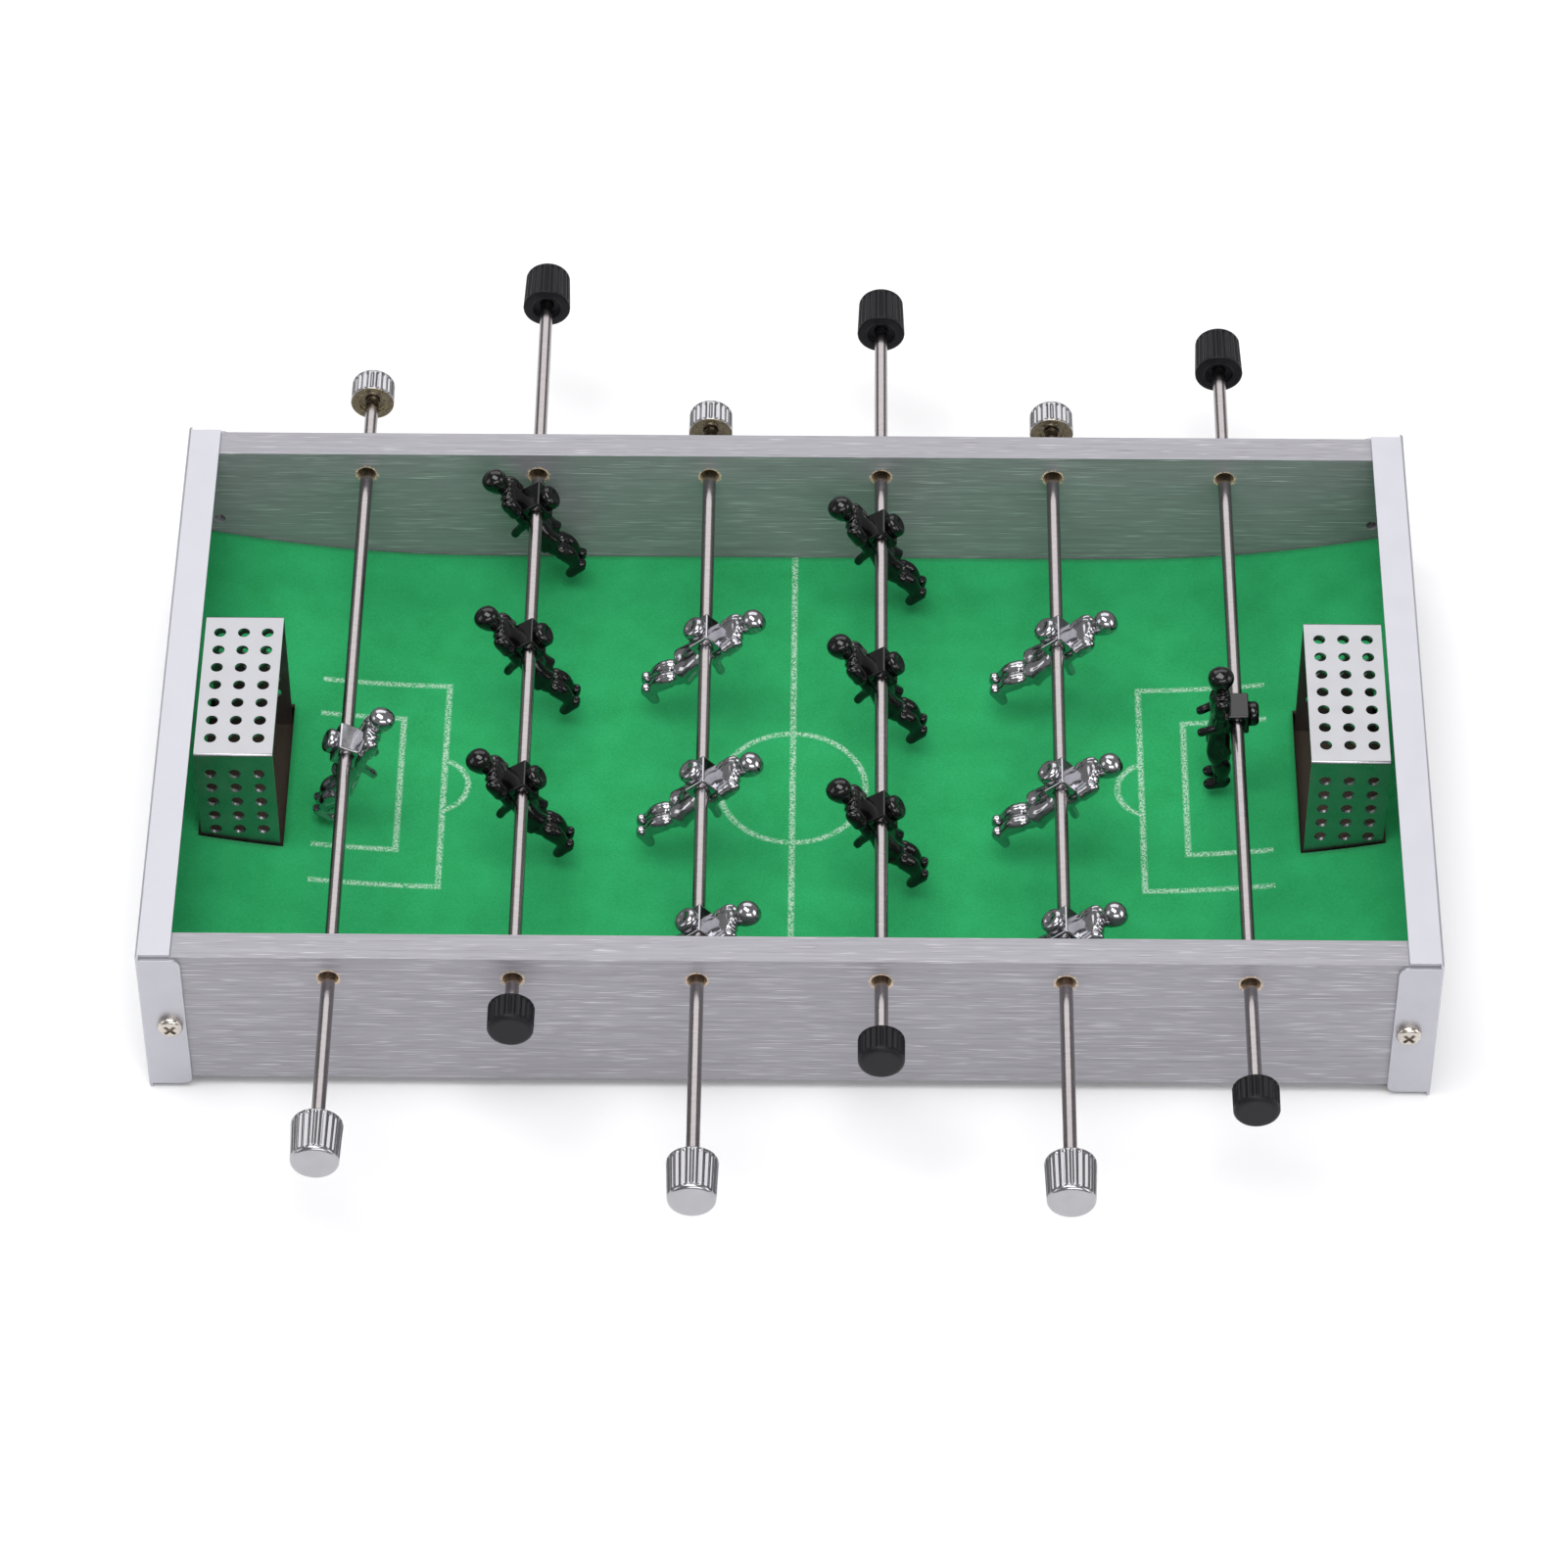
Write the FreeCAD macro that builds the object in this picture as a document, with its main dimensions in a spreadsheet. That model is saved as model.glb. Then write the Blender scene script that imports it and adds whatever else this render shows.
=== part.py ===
import FreeCAD, Part
import Sketcher
import math
import os

# Tabletop foosball game, millimetres. X runs goal to goal, Y runs along the rods, Z is up.
# The origin is the middle of the footprint, at the underside of the end caps.
SIZES = {
    # box
    "wall_length": 280.0,
    "inner_width": 146.0,
    "board_thick": 7.0,
    "wall_bottom": 2.8,
    "wall_top": 43.0,
    # folded end caps
    "sheet_thick": 0.8,
    "bend_radius": 0.6,
    "strip_width": 7.5,
    "flange_width": 9.6,
    "flange_corner": 2.0,
    "fold_notch": 0.4,
    "screw_height": 21.5,
    "screw_inset": 6.2,
    # playing surface
    "pitch_thick": 2.0,
    "flat_half": 72.0,
    "ramp_radius": 270.0,
    "slot_margin": 1.5,
    # goals
    "goal_mouth": 115.0,
    "goal_depth": 17.5,
    "goal_width": 42.4,
    "goal_sheet": 0.8,
    "goal_hole": 2.7,
    "goal_pitch": 5.36,
    "goal_row_pitch": 4.6,
    "goal_first_row": 6.2,
    # rods
    "rod_height": 35.8,
    "rod_pitch": 39.8,
    "rod_dia": 3.0,
    "rod_play": 57.0,
    "running_gap": 0.05,
    "wall_hole_gap": 1.4,
    "wall_hole_lift": 0.6,
    # handles and end knobs
    "handle_length": 10.8,
    "handle_dia": 11.2,
    "knob_length": 6.8,
    "knob_dia": 10.2,
    "grip_hollow_dia": 6.6,
    "grip_hollow_deep": 1.2,
    "flute_radius": 0.45,
    # men
    "man_spacing": 43.5,
    "block_size": 5.6,
    "block_width": 7.5,
    "body_forward": 3.4,
    "sole_reach": 22.3,
    "head_reach": 14.2,
    "head_radius": 2.7,
    "shoulder_width": 9.8,
}

# label, side that plays it, number of men, shift along Y, lean of the men in degrees
RODS = [
    ("rod_1", "silver", 1, -11.5, 27.0),
    ("rod_2", "black", 3, 21.0, -35.0),
    ("rod_3", "silver", 3, -21.0, 48.0),
    ("rod_4", "black", 3, 12.8, -34.0),
    ("rod_5", "silver", 3, -20.6, 48.0),
    ("rod_6", "black", 1, 0.0, -2.0),
]
FLUTES = 22
GOAL_COLUMNS = 3
GOAL_TOP_ROWS = 7
GOAL_SIDE_ROWS = 5

doc = FreeCAD.newDocument("foosball")
sheet = doc.addObject("Spreadsheet::Sheet", "Params")
for row, (alias, number) in enumerate(SIZES.items(), start=1):
    sheet.set("A%d" % row, alias)
    sheet.set("B%d" % row, str(number))
    sheet.setAlias("B%d" % row, alias)
doc.recompute()

AXIS_X = FreeCAD.Vector(1, 0, 0)
AXIS_Y = FreeCAD.Vector(0, 1, 0)
AXIS_Z = FreeCAD.Vector(0, 0, 1)
sub_parts = []


def size(alias):
    return float(sheet.get(alias))


def spot(x, y, z, axis=AXIS_Z, degrees=0.0):
    return FreeCAD.Placement(FreeCAD.Vector(x, y, z), FreeCAD.Rotation(axis, degrees))


def keep(thing, label):
    thing.Label = label
    sub_parts.append(thing)
    return thing


def bind(thing, prop, formula):
    """Tie one property to a formula of sheet aliases, written with their bare names."""
    for alias in sorted(SIZES, key=len, reverse=True):
        formula = formula.replace("[%s]" % alias, "Params.%s" % alias)
    thing.setExpression(prop, formula)


# sketch helpers

def new_body(name):
    return doc.addObject("PartDesign::Body", name)


def plane_sketch(body, role, name, lift=None):
    sketch = body.newObject("Sketcher::SketchObject", name)
    plane = [item for item in body.Origin.OriginFeatures if item.Role == role][0]
    sketch.AttachmentSupport = [(plane, "")]
    sketch.MapMode = "FlatFace"
    if lift:
        bind(sketch, "AttachmentOffset.Base.z", lift)
    return sketch


def named(sketch, kind, refs, start_value, name, formula):
    index = sketch.addConstraint(Sketcher.Constraint(kind, *refs, start_value))
    sketch.renameConstraint(index, name)
    bind(sketch, "Constraints." + name, formula)


def rectangle(sketch, tag, left, right, low, high):
    """Closed rectangle whose four sides follow formulas; each side's value is (number, formula)."""
    corners = [(left[0], low[0]), (right[0], low[0]), (right[0], high[0]), (left[0], high[0])]
    first = sketch.GeometryCount
    for i in range(4):
        start = FreeCAD.Vector(corners[i][0], corners[i][1], 0)
        end = FreeCAD.Vector(corners[(i + 1) % 4][0], corners[(i + 1) % 4][1], 0)
        sketch.addGeometry(Part.LineSegment(start, end), False)
    for i in range(4):
        sketch.addConstraint(Sketcher.Constraint("Coincident", first + i, 2, first + (i + 1) % 4, 1))
    for i in (0, 2):
        sketch.addConstraint(Sketcher.Constraint("Horizontal", first + i))
    for i in (1, 3):
        sketch.addConstraint(Sketcher.Constraint("Vertical", first + i))
    named(sketch, "DistanceX", (-1, 1, first, 1), left[0], tag + "_left", left[1])
    named(sketch, "DistanceX", (-1, 1, first + 1, 1), right[0], tag + "_right", right[1])
    named(sketch, "DistanceY", (-1, 1, first, 1), low[0], tag + "_low", low[1])
    named(sketch, "DistanceY", (-1, 1, first + 2, 1), high[0], tag + "_high", high[1])


def circle(sketch, tag, across, up, radius):
    """Circle at (across, up); each value is (number, formula)."""
    centre = FreeCAD.Vector(across[0], up[0], 0)
    index = sketch.addGeometry(Part.Circle(centre, AXIS_Z, radius[0]), False)
    named(sketch, "Radius", (index,), radius[0], tag + "_r", radius[1])
    named(sketch, "DistanceX", (-1, 1, index, 3), across[0], tag + "_x", across[1])
    named(sketch, "DistanceY", (-1, 1, index, 3), up[0], tag + "_y", up[1])


def pad(body, sketch, name, formula, both_ways=False):
    feature = body.newObject("PartDesign::Pad", name)
    feature.Profile = sketch
    feature.Midplane = both_ways
    bind(feature, "Length", formula)
    doc.recompute()
    return feature


def pocket(body, sketch, name, formula=None):
    """Cut by the sketch: through everything both ways, or one way to the formula's depth."""
    before = body.Shape.Volume
    feature = body.newObject("PartDesign::Pocket", name)
    feature.Profile = sketch
    if formula:
        feature.Type = 0
        bind(feature, "Length", formula)
    else:
        feature.Type = 1
        feature.Midplane = True
    doc.recompute()
    if not body.Shape.Volume < before - 0.001:
        raise RuntimeError(name + " removed nothing")
    return feature


def soften(body, name, formula, wanted):
    """Fillet the edges of the body's tip that the test picks out."""
    tip = body.Tip
    edges = ["Edge%d" % (i + 1) for i, edge in enumerate(tip.Shape.Edges) if wanted(edge)]
    feature = body.newObject("PartDesign::Fillet", name)
    feature.Base = (tip, edges)
    bind(feature, "Radius", formula)
    doc.recompute()
    return feature


def runs_along(edge, axis):
    if not isinstance(edge.Curve, Part.Line):
        return False
    return abs(edge.Curve.Direction.dot(axis)) > 0.999


# box and playing surface

def rod_x(i):
    return (i - 2.5) * size("rod_pitch")


def rod_x_formula(i):
    return "(%g) * [rod_pitch]" % (i - 2.5)


def make_base_board():
    body = keep(new_body("BaseBoard"), "base_board")
    sketch = plane_sketch(body, "XY_Plane", "BoardOutline", "[sheet_thick]")
    half_x = size("wall_length") / 2
    half_y = size("inner_width") / 2
    rectangle(sketch, "edge", (-half_x, "-[wall_length] / 2"), (half_x, "[wall_length] / 2"),
              (-half_y, "-[inner_width] / 2"), (half_y, "[inner_width] / 2"))
    pad(body, sketch, "Board", "[board_thick]")


def make_wall(label, side):
    """Long wall with a hole for every rod and a pilot hole near each end."""
    body = keep(new_body(label), label)
    sketch = plane_sketch(body, "XZ_Plane", "WallFace")
    half_x = size("wall_length") / 2
    rectangle(sketch, "edge", (-half_x, "-[wall_length] / 2"), (half_x, "[wall_length] / 2"),
              (size("wall_bottom"), "[wall_bottom]"), (size("wall_top"), "[wall_top]"))
    pad(body, sketch, "Wall", "[board_thick]", True)
    holes = plane_sketch(body, "XZ_Plane", "RodHoles")
    up = (size("rod_height") + size("wall_hole_lift"), "[rod_height] + [wall_hole_lift]")
    for i in range(len(RODS)):
        circle(holes, "rod%d" % i, (rod_x(i), rod_x_formula(i)), up,
               ((size("rod_dia") + size("wall_hole_gap")) / 2, "([rod_dia] + [wall_hole_gap]) / 2"))
    pocket(body, holes, "RodBores")
    pilots = plane_sketch(body, "XZ_Plane", "Pilots")
    reach = half_x + size("sheet_thick") - size("screw_inset")
    for i, sign in enumerate((-1, 1)):
        circle(pilots, "pilot%d" % i,
               (sign * reach, "%d * ([wall_length] / 2 + [sheet_thick] - [screw_inset])" % sign),
               (size("screw_height"), "[screw_height]"), (1.25, "1.25"))
    pocket(body, pilots, "PilotBores")
    body.Placement = spot(0, side * (size("inner_width") + size("board_thick")) / 2, 0)
    bind(body, "Placement.Base.y", "%d * ([inner_width] + [board_thick]) / 2" % side)


def make_end_cap(label, degrees):
    """Folded sheet cap, drawn for the +X end: outer plate, top and bottom strips, two flanges."""
    body = keep(new_body(label), label)
    outer_y = "([inner_width] / 2 + [board_thick] + [sheet_thick])"
    inner_y = "([inner_width] / 2 + [board_thick])"
    plate_x = "[wall_length] / 2"
    t = size("sheet_thick")
    y_in = size("inner_width") / 2 + size("board_thick")
    x_in = size("wall_length") / 2
    top = size("wall_top") + t
    block = plane_sketch(body, "XY_Plane", "CapOutline")
    rectangle(block, "edge",
              (x_in + t - size("flange_width"), plate_x + " + [sheet_thick] - [flange_width]"),
              (x_in + t, plate_x + " + [sheet_thick]"),
              (-y_in - t, "-" + outer_y), (y_in + t, outer_y))
    pad(body, block, "CapBlock", "[wall_top] + [sheet_thick]")
    hollow = plane_sketch(body, "YZ_Plane", "CapHollow", plate_x)
    rectangle(hollow, "edge", (-y_in, "-" + inner_y), (y_in, inner_y),
              (t, "[sheet_thick]"), (top - t, "[wall_top]"))
    pocket(body, hollow, "Hollow", formula="[flange_width]")
    trim = plane_sketch(body, "XY_Plane", "StripTrim")
    rectangle(trim, "edge",
              (x_in - size("flange_width"), plate_x + " - [flange_width]"),
              (x_in + t - size("strip_width"), plate_x + " + [sheet_thick] - [strip_width]"),
              (-y_in, "-" + inner_y), (y_in, inner_y))
    pocket(body, trim, "StripEdge")
    notch = plane_sketch(body, "YZ_Plane", "FoldNotches", plate_x)
    drop = size("fold_notch")
    for i, sign in enumerate((-1, 1)):
        sides = [(sign * y_in, "%d * %s" % (sign, inner_y)),
                 (sign * (y_in + 2 * t), "%d * (%s + 2 * [sheet_thick])" % (sign, inner_y))]
        sides.sort()
        rectangle(notch, "top%d" % i, sides[0], sides[1],
                  (top - t - drop, "[wall_top] - [fold_notch]"), (top + 1, "[wall_top] + 2"))
        rectangle(notch, "low%d" % i, sides[0], sides[1],
                  (-1.0, "-1"), (t + drop, "[sheet_thick] + [fold_notch]"))
    pocket(body, notch, "Notches", formula="[flange_width]")
    x_edge = x_in + t - size("flange_width")
    soften(body, "FlangeCorners", "[flange_corner]",
           lambda edge: runs_along(edge, AXIS_Y) and abs(edge.CenterOfMass.x - x_edge) < 0.01
           and abs(edge.CenterOfMass.y) > y_in)
    soften(body, "OuterBends", "[bend_radius]",
           lambda edge: abs(edge.CenterOfMass.x - x_in - t) < 0.01
           and (runs_along(edge, AXIS_Y) or runs_along(edge, AXIS_Z)) and edge.Length > 10)
    bores = plane_sketch(body, "XZ_Plane", "FlangeBores")
    circle(bores, "screw", (x_in + t - size("screw_inset"), plate_x + " + [sheet_thick] - [screw_inset]"),
           (size("screw_height"), "[screw_height]"), (1.6, "1.6"))
    pocket(body, bores, "ScrewBores")
    body.Placement = spot(0, 0, 0, AXIS_Z, degrees)


def make_screw(name, x, y, degrees):
    """Cross-head pan screw whose head stands on the flange and points away from it."""
    shank = doc.addObject("Part::Cylinder", name + "Shank")
    shank.Radius = 1.2
    shank.Height = 6.0
    shank.Placement = spot(0, 0, -6.0)
    head = doc.addObject("Part::Cylinder", name + "Head")
    head.Radius = 2.8
    head.Height = 1.9
    domed = doc.addObject("Part::Fillet", name + "Dome")
    domed.Base = head
    rim = [i + 1 for i, edge in enumerate(head.Shape.Edges) if edge.CenterOfMass.z > 1.8]
    domed.Edges = [(i, 1.2, 1.2) for i in rim[:1]]
    solid = doc.addObject("Part::MultiFuse", name + "Solid")
    solid.Shapes = [domed, shank]
    blades = []
    for i in range(2):
        blade = doc.addObject("Part::Box", "%sBlade%d" % (name, i))
        blade.Length, blade.Width, blade.Height = 3.2, 0.8, 2.0
        turned = FreeCAD.Rotation(AXIS_Z, 45 + 90 * i)
        blade.Placement = FreeCAD.Placement(turned.multVec(FreeCAD.Vector(-1.6, -0.4, 0.9)), turned)
        blades.append(blade)
    recess = doc.addObject("Part::MultiFuse", name + "Recess")
    recess.Shapes = blades
    screw = doc.addObject("Part::Cut", name)
    screw.Base = solid
    screw.Tool = recess
    doc.recompute()
    screw.Placement = spot(x, y, size("screw_height"), AXIS_X, degrees)
    return screw


def make_cap_screws():
    reach_x = size("wall_length") / 2 + size("sheet_thick") - size("screw_inset")
    reach_y = size("inner_width") / 2 + size("board_thick") + size("sheet_thick")
    screws = []
    for i, sign in enumerate((-1, 1)):
        screws.append(make_screw("FrontScrew%d" % i, sign * reach_x, -reach_y, 90))
        screws.append(make_screw("BackScrew%d" % i, sign * reach_x, reach_y, -90))
    group = keep(doc.addObject("Part::Compound", "CapScrews"), "cap_screws")
    group.Links = screws
    doc.recompute()


def make_pitch():
    """Sheet that is flat in the middle and curls up towards both ends, with a slot per goal."""
    body = keep(new_body("Pitch"), "pitch")
    sketch = plane_sketch(body, "XZ_Plane", "PitchProfile")
    flat = size("flat_half")
    end = size("wall_length") / 2
    low = size("sheet_thick") + size("board_thick")
    high = low + size("pitch_thick")
    radius = size("ramp_radius")
    outer = radius + size("pitch_thick")
    centre_z = high + radius
    turn_in = math.asin((end - flat) / radius)
    turn_out = math.asin((end - flat) / outer)
    middle = {}
    for name, z in (("top", high), ("low", low)):
        line = Part.LineSegment(FreeCAD.Vector(-flat, z, 0), FreeCAD.Vector(flat, z, 0))
        middle[name] = sketch.addGeometry(line, False)
    arcs = {}
    for sign in (-1, 1):
        for name, r, turn in (("top", radius, turn_in), ("low", outer, turn_out)):
            whole = Part.Circle(FreeCAD.Vector(sign * flat, centre_z, 0), AXIS_Z, r)
            if sign > 0:
                arc = Part.ArcOfCircle(whole, -math.pi / 2, -math.pi / 2 + turn)
            else:
                arc = Part.ArcOfCircle(whole, -math.pi / 2 - turn, -math.pi / 2)
            arcs[(name, sign)] = sketch.addGeometry(arc, False)
    ends = {}
    for sign in (-1, 1):
        z_top = centre_z - radius * math.cos(turn_in)
        z_low = centre_z - outer * math.cos(turn_out)
        side = Part.LineSegment(FreeCAD.Vector(sign * end, z_low, 0), FreeCAD.Vector(sign * end, z_top, 0))
        ends[sign] = sketch.addGeometry(side, False)
    for name in ("top", "low"):
        sketch.addConstraint(Sketcher.Constraint("Horizontal", middle[name]))
        sketch.addConstraint(Sketcher.Constraint("Tangent", middle[name], 2, arcs[(name, 1)], 1))
        sketch.addConstraint(Sketcher.Constraint("Tangent", middle[name], 1, arcs[(name, -1)], 2))
    for sign in (-1, 1):
        sketch.addConstraint(Sketcher.Constraint("Vertical", ends[sign]))
        point = 2 if sign > 0 else 1
        sketch.addConstraint(Sketcher.Constraint("Coincident", ends[sign], 2, arcs[("top", sign)], point))
        sketch.addConstraint(Sketcher.Constraint("Coincident", ends[sign], 1, arcs[("low", sign)], point))
        word = "right" if sign > 0 else "left"
        named(sketch, "DistanceX", (-1, 1, arcs[("top", sign)], 3), sign * flat, word + "_top_centre",
              "%d * [flat_half]" % sign)
        named(sketch, "DistanceX", (-1, 1, arcs[("low", sign)], 3), sign * flat, word + "_low_centre",
              "%d * [flat_half]" % sign)
        named(sketch, "DistanceX", (-1, 1, ends[sign], 1), sign * end, word + "_end",
              "%d * [wall_length] / 2" % sign)
        named(sketch, "Radius", (arcs[("top", sign)],), radius, word + "_top_r", "[ramp_radius]")
        named(sketch, "Radius", (arcs[("low", sign)],), outer, word + "_low_r",
              "[ramp_radius] + [pitch_thick]")
    named(sketch, "DistanceY", (-1, 1, middle["low"], 1), low, "low_z", "[sheet_thick] + [board_thick]")
    named(sketch, "DistanceY", (-1, 1, middle["top"], 1), high, "top_z",
          "[sheet_thick] + [board_thick] + [pitch_thick]")
    pad(body, sketch, "PitchSheet", "[inner_width]", True)
    slots = plane_sketch(body, "XY_Plane", "GoalSlots")
    near = size("goal_mouth") - size("slot_margin")
    far = size("goal_mouth") + size("goal_depth") + size("slot_margin")
    half = size("goal_width") / 2 + size("slot_margin")
    for sign in (-1, 1):
        sides = [(sign * near, "%d * ([goal_mouth] - [slot_margin])" % sign),
                 (sign * far, "%d * ([goal_mouth] + [goal_depth] + [slot_margin])" % sign)]
        sides.sort()
        rectangle(slots, "right" if sign > 0 else "left", sides[0], sides[1],
                  (-half, "-([goal_width] / 2 + [slot_margin])"),
                  (half, "[goal_width] / 2 + [slot_margin]"))
    pocket(body, slots, "Slots")


def make_goal(label, degrees):
    """Perforated bent sheet, drawn for the +X end: a top plate on two side plates, open both ways."""
    body = keep(new_body(label), label)
    half = size("goal_width") / 2
    t = size("goal_sheet")
    low = size("sheet_thick") + size("board_thick")
    top = size("wall_top")
    block = plane_sketch(body, "YZ_Plane", "GoalOutline", "[goal_mouth]")
    rectangle(block, "edge", (-half, "-[goal_width] / 2"), (half, "[goal_width] / 2"),
              (low, "[sheet_thick] + [board_thick]"), (top, "[wall_top]"))
    pad(body, block, "GoalBlock", "[goal_depth]")
    hollow = plane_sketch(body, "YZ_Plane", "GoalHollow")
    rectangle(hollow, "edge", (t - half, "[goal_sheet] - [goal_width] / 2"),
              (half - t, "[goal_width] / 2 - [goal_sheet]"),
              (low - 1, "[sheet_thick] + [board_thick] - 1"), (top - t, "[wall_top] - [goal_sheet]"))
    pocket(body, hollow, "GoalInside")
    soften(body, "GoalBends", "[bend_radius]",
           lambda edge: runs_along(edge, AXIS_X) and abs(edge.CenterOfMass.z - top) < 0.01)
    x_mid = size("goal_mouth") + size("goal_depth") / 2
    radius = (size("goal_hole") / 2, "[goal_hole] / 2")
    top_holes = plane_sketch(body, "XY_Plane", "TopHoles")
    side_holes = plane_sketch(body, "XZ_Plane", "SideHoles")
    for column in range(GOAL_COLUMNS):
        steps = column - (GOAL_COLUMNS - 1) / 2
        across = (x_mid + steps * size("goal_pitch"),
                  "[goal_mouth] + [goal_depth] / 2 + (%g) * [goal_pitch]" % steps)
        for row in range(GOAL_TOP_ROWS):
            back = row - (GOAL_TOP_ROWS - 1) / 2
            circle(top_holes, "t%d_%d" % (column, row), across,
                   (back * size("goal_pitch"), "(%g) * [goal_pitch]" % back), radius)
        for row in range(GOAL_SIDE_ROWS):
            drop = size("goal_first_row") + row * size("goal_row_pitch")
            circle(side_holes, "s%d_%d" % (column, row), across,
                   (top - drop, "[wall_top] - [goal_first_row] - %d * [goal_row_pitch]" % row), radius)
    pocket(body, top_holes, "TopPerforation")
    pocket(body, side_holes, "SidePerforation")
    body.Placement = spot(0, 0, 0, AXIS_Z, degrees)


# rods and grips

# a rod's clear length between its two grips: the box's outside width and the play left for sliding
SPAN_FORMULA = "([inner_width] + 2 * [board_thick] + [rod_play])"


def rod_span():
    return size("inner_width") + 2 * size("board_thick") + size("rod_play")


def make_rod(label, i, shift, long_end):
    """Plain round bar from 3 mm inside the handle's face to 3 mm inside the end knob's face."""
    body = keep(new_body(label + "_bar"), label)
    sketch = plane_sketch(body, "XZ_Plane", "BarSection")
    circle(sketch, "bar", (0.0, "0"), (0.0, "0"), (size("rod_dia") / 2, "[rod_dia] / 2"))
    pad(body, sketch, "Bar", SPAN_FORMULA + " + [handle_length] + [knob_length] - 6", True)
    bar = body.Tip
    rims = ["Edge%d" % (n + 1) for n, edge in enumerate(bar.Shape.Edges)
            if isinstance(edge.Curve, Part.Circle)]
    chamfer = body.newObject("PartDesign::Chamfer", "BarEnds")
    chamfer.Base = (bar, rims)
    chamfer.Size = 0.3
    lean = long_end * (size("handle_length") - size("knob_length")) / 2
    body.Placement = spot(rod_x(i), shift + lean, size("rod_height"))
    bind(body, "Placement.Base.x", rod_x_formula(i))
    bind(body, "Placement.Base.y", "%g + %d * ([handle_length] - [knob_length]) / 2" % (shift, long_end))
    bind(body, "Placement.Base.z", "[rod_height]")


def make_grip(label, i, shift, end, length_name, dia_name, taper):
    """Fluted grip: its inner face is at y = 0 and its body runs towards -Y before placing."""
    body = keep(new_body(label), label)
    length = size(length_name)
    radius = size(dia_name) / 2
    bore = size("rod_dia") / 2 + size("running_gap")
    hollow = size("grip_hollow_dia") / 2
    deep = size("grip_hollow_deep")
    points = [(bore, deep), (hollow, deep), (hollow, 0.0), (radius - 0.3, 0.0), (radius, 0.3),
              (radius - taper, length - 1.0), (radius - taper - 0.7, length - 0.15),
              (radius - taper - 1.0, length), (0.0, length), (0.0, length - 2.6), (bore, length - 2.6)]
    profile = plane_sketch(body, "XY_Plane", "GripProfile")
    count = len(points)
    for n in range(count):
        start = FreeCAD.Vector(points[n][0], -points[n][1], 0)
        stop = FreeCAD.Vector(points[(n + 1) % count][0], -points[(n + 1) % count][1], 0)
        profile.addGeometry(Part.LineSegment(start, stop), False)
    for n in range(count):
        profile.addConstraint(Sketcher.Constraint("Coincident", n, 2, (n + 1) % count, 1))
    across = {0: "[rod_dia] / 2 + [running_gap]", 1: "[grip_hollow_dia] / 2", 2: "[grip_hollow_dia] / 2",
              3: "[%s] / 2 - 0.3" % dia_name, 4: "[%s] / 2" % dia_name,
              5: "[%s] / 2 - %g" % (dia_name, taper), 6: "[%s] / 2 - %g" % (dia_name, taper + 0.7),
              7: "[%s] / 2 - %g" % (dia_name, taper + 1.0), 8: "0", 9: "0",
              10: "[rod_dia] / 2 + [running_gap]"}
    along = {0: "-[grip_hollow_deep]", 1: "-[grip_hollow_deep]", 2: "0", 3: "0", 4: "-0.3",
             5: "1 - [%s]" % length_name, 6: "0.15 - [%s]" % length_name, 7: "-[%s]" % length_name,
             8: "-[%s]" % length_name, 9: "2.6 - [%s]" % length_name, 10: "2.6 - [%s]" % length_name}
    for n in range(count):
        named(profile, "DistanceX", (-1, 1, n, 1), points[n][0], "across%d" % n, across[n])
        named(profile, "DistanceY", (-1, 1, n, 1), -points[n][1], "along%d" % n, along[n])
    turned = body.newObject("PartDesign::Revolution", "GripBody")
    turned.Profile = profile
    turned.ReferenceAxis = (profile, ["V_Axis"])
    turned.Angle = 360.0
    doc.recompute()
    cutter = plane_sketch(body, "XZ_Plane", "FluteSection")
    circle(cutter, "flute", (0.0, "0"), (radius + 0.12, "[%s] / 2 + 0.12" % dia_name),
           (size("flute_radius"), "[flute_radius]"))
    flute = pocket(body, cutter, "Flute")
    ring = body.newObject("PartDesign::PolarPattern", "Flutes")
    ring.Originals = [flute]
    ring.Axis = (cutter, ["N_Axis"])
    ring.Angle = 360.0
    ring.Occurrences = FLUTES
    body.Tip = ring
    doc.recompute()
    y = shift + end * rod_span() / 2
    body.Placement = spot(rod_x(i), y, size("rod_height"), AXIS_Z, 180 if end > 0 else 0)
    bind(body, "Placement.Base.x", rod_x_formula(i))
    bind(body, "Placement.Base.y", "%g + %d * %s / 2" % (shift, end, SPAN_FORMULA))
    bind(body, "Placement.Base.z", "[rod_height]")


# men

def ball(name, centre, radius):
    shape = doc.addObject("Part::Sphere", name)
    shape.Radius = radius
    shape.Placement = spot(*centre)
    return shape


def limb(name, start, stop, start_radius, stop_radius):
    """Round limb between two points, tapered unless its radii are equal."""
    start = FreeCAD.Vector(*start)
    stop = FreeCAD.Vector(*stop)
    run = stop - start
    if start_radius == stop_radius:
        shape = doc.addObject("Part::Cylinder", name)
        shape.Radius = start_radius
    else:
        shape = doc.addObject("Part::Cone", name)
        shape.Radius1 = start_radius
        shape.Radius2 = stop_radius
    shape.Height = run.Length
    shape.Placement = FreeCAD.Placement(start, FreeCAD.Rotation(AXIS_Z, run))
    return shape


def slab(name, centre, sizes):
    shape = doc.addObject("Part::Box", name)
    shape.Length, shape.Width, shape.Height = sizes
    shape.Placement = spot(centre[0] - sizes[0] / 2, centre[1] - sizes[1] / 2, centre[2] - sizes[2] / 2)
    return shape


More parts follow.
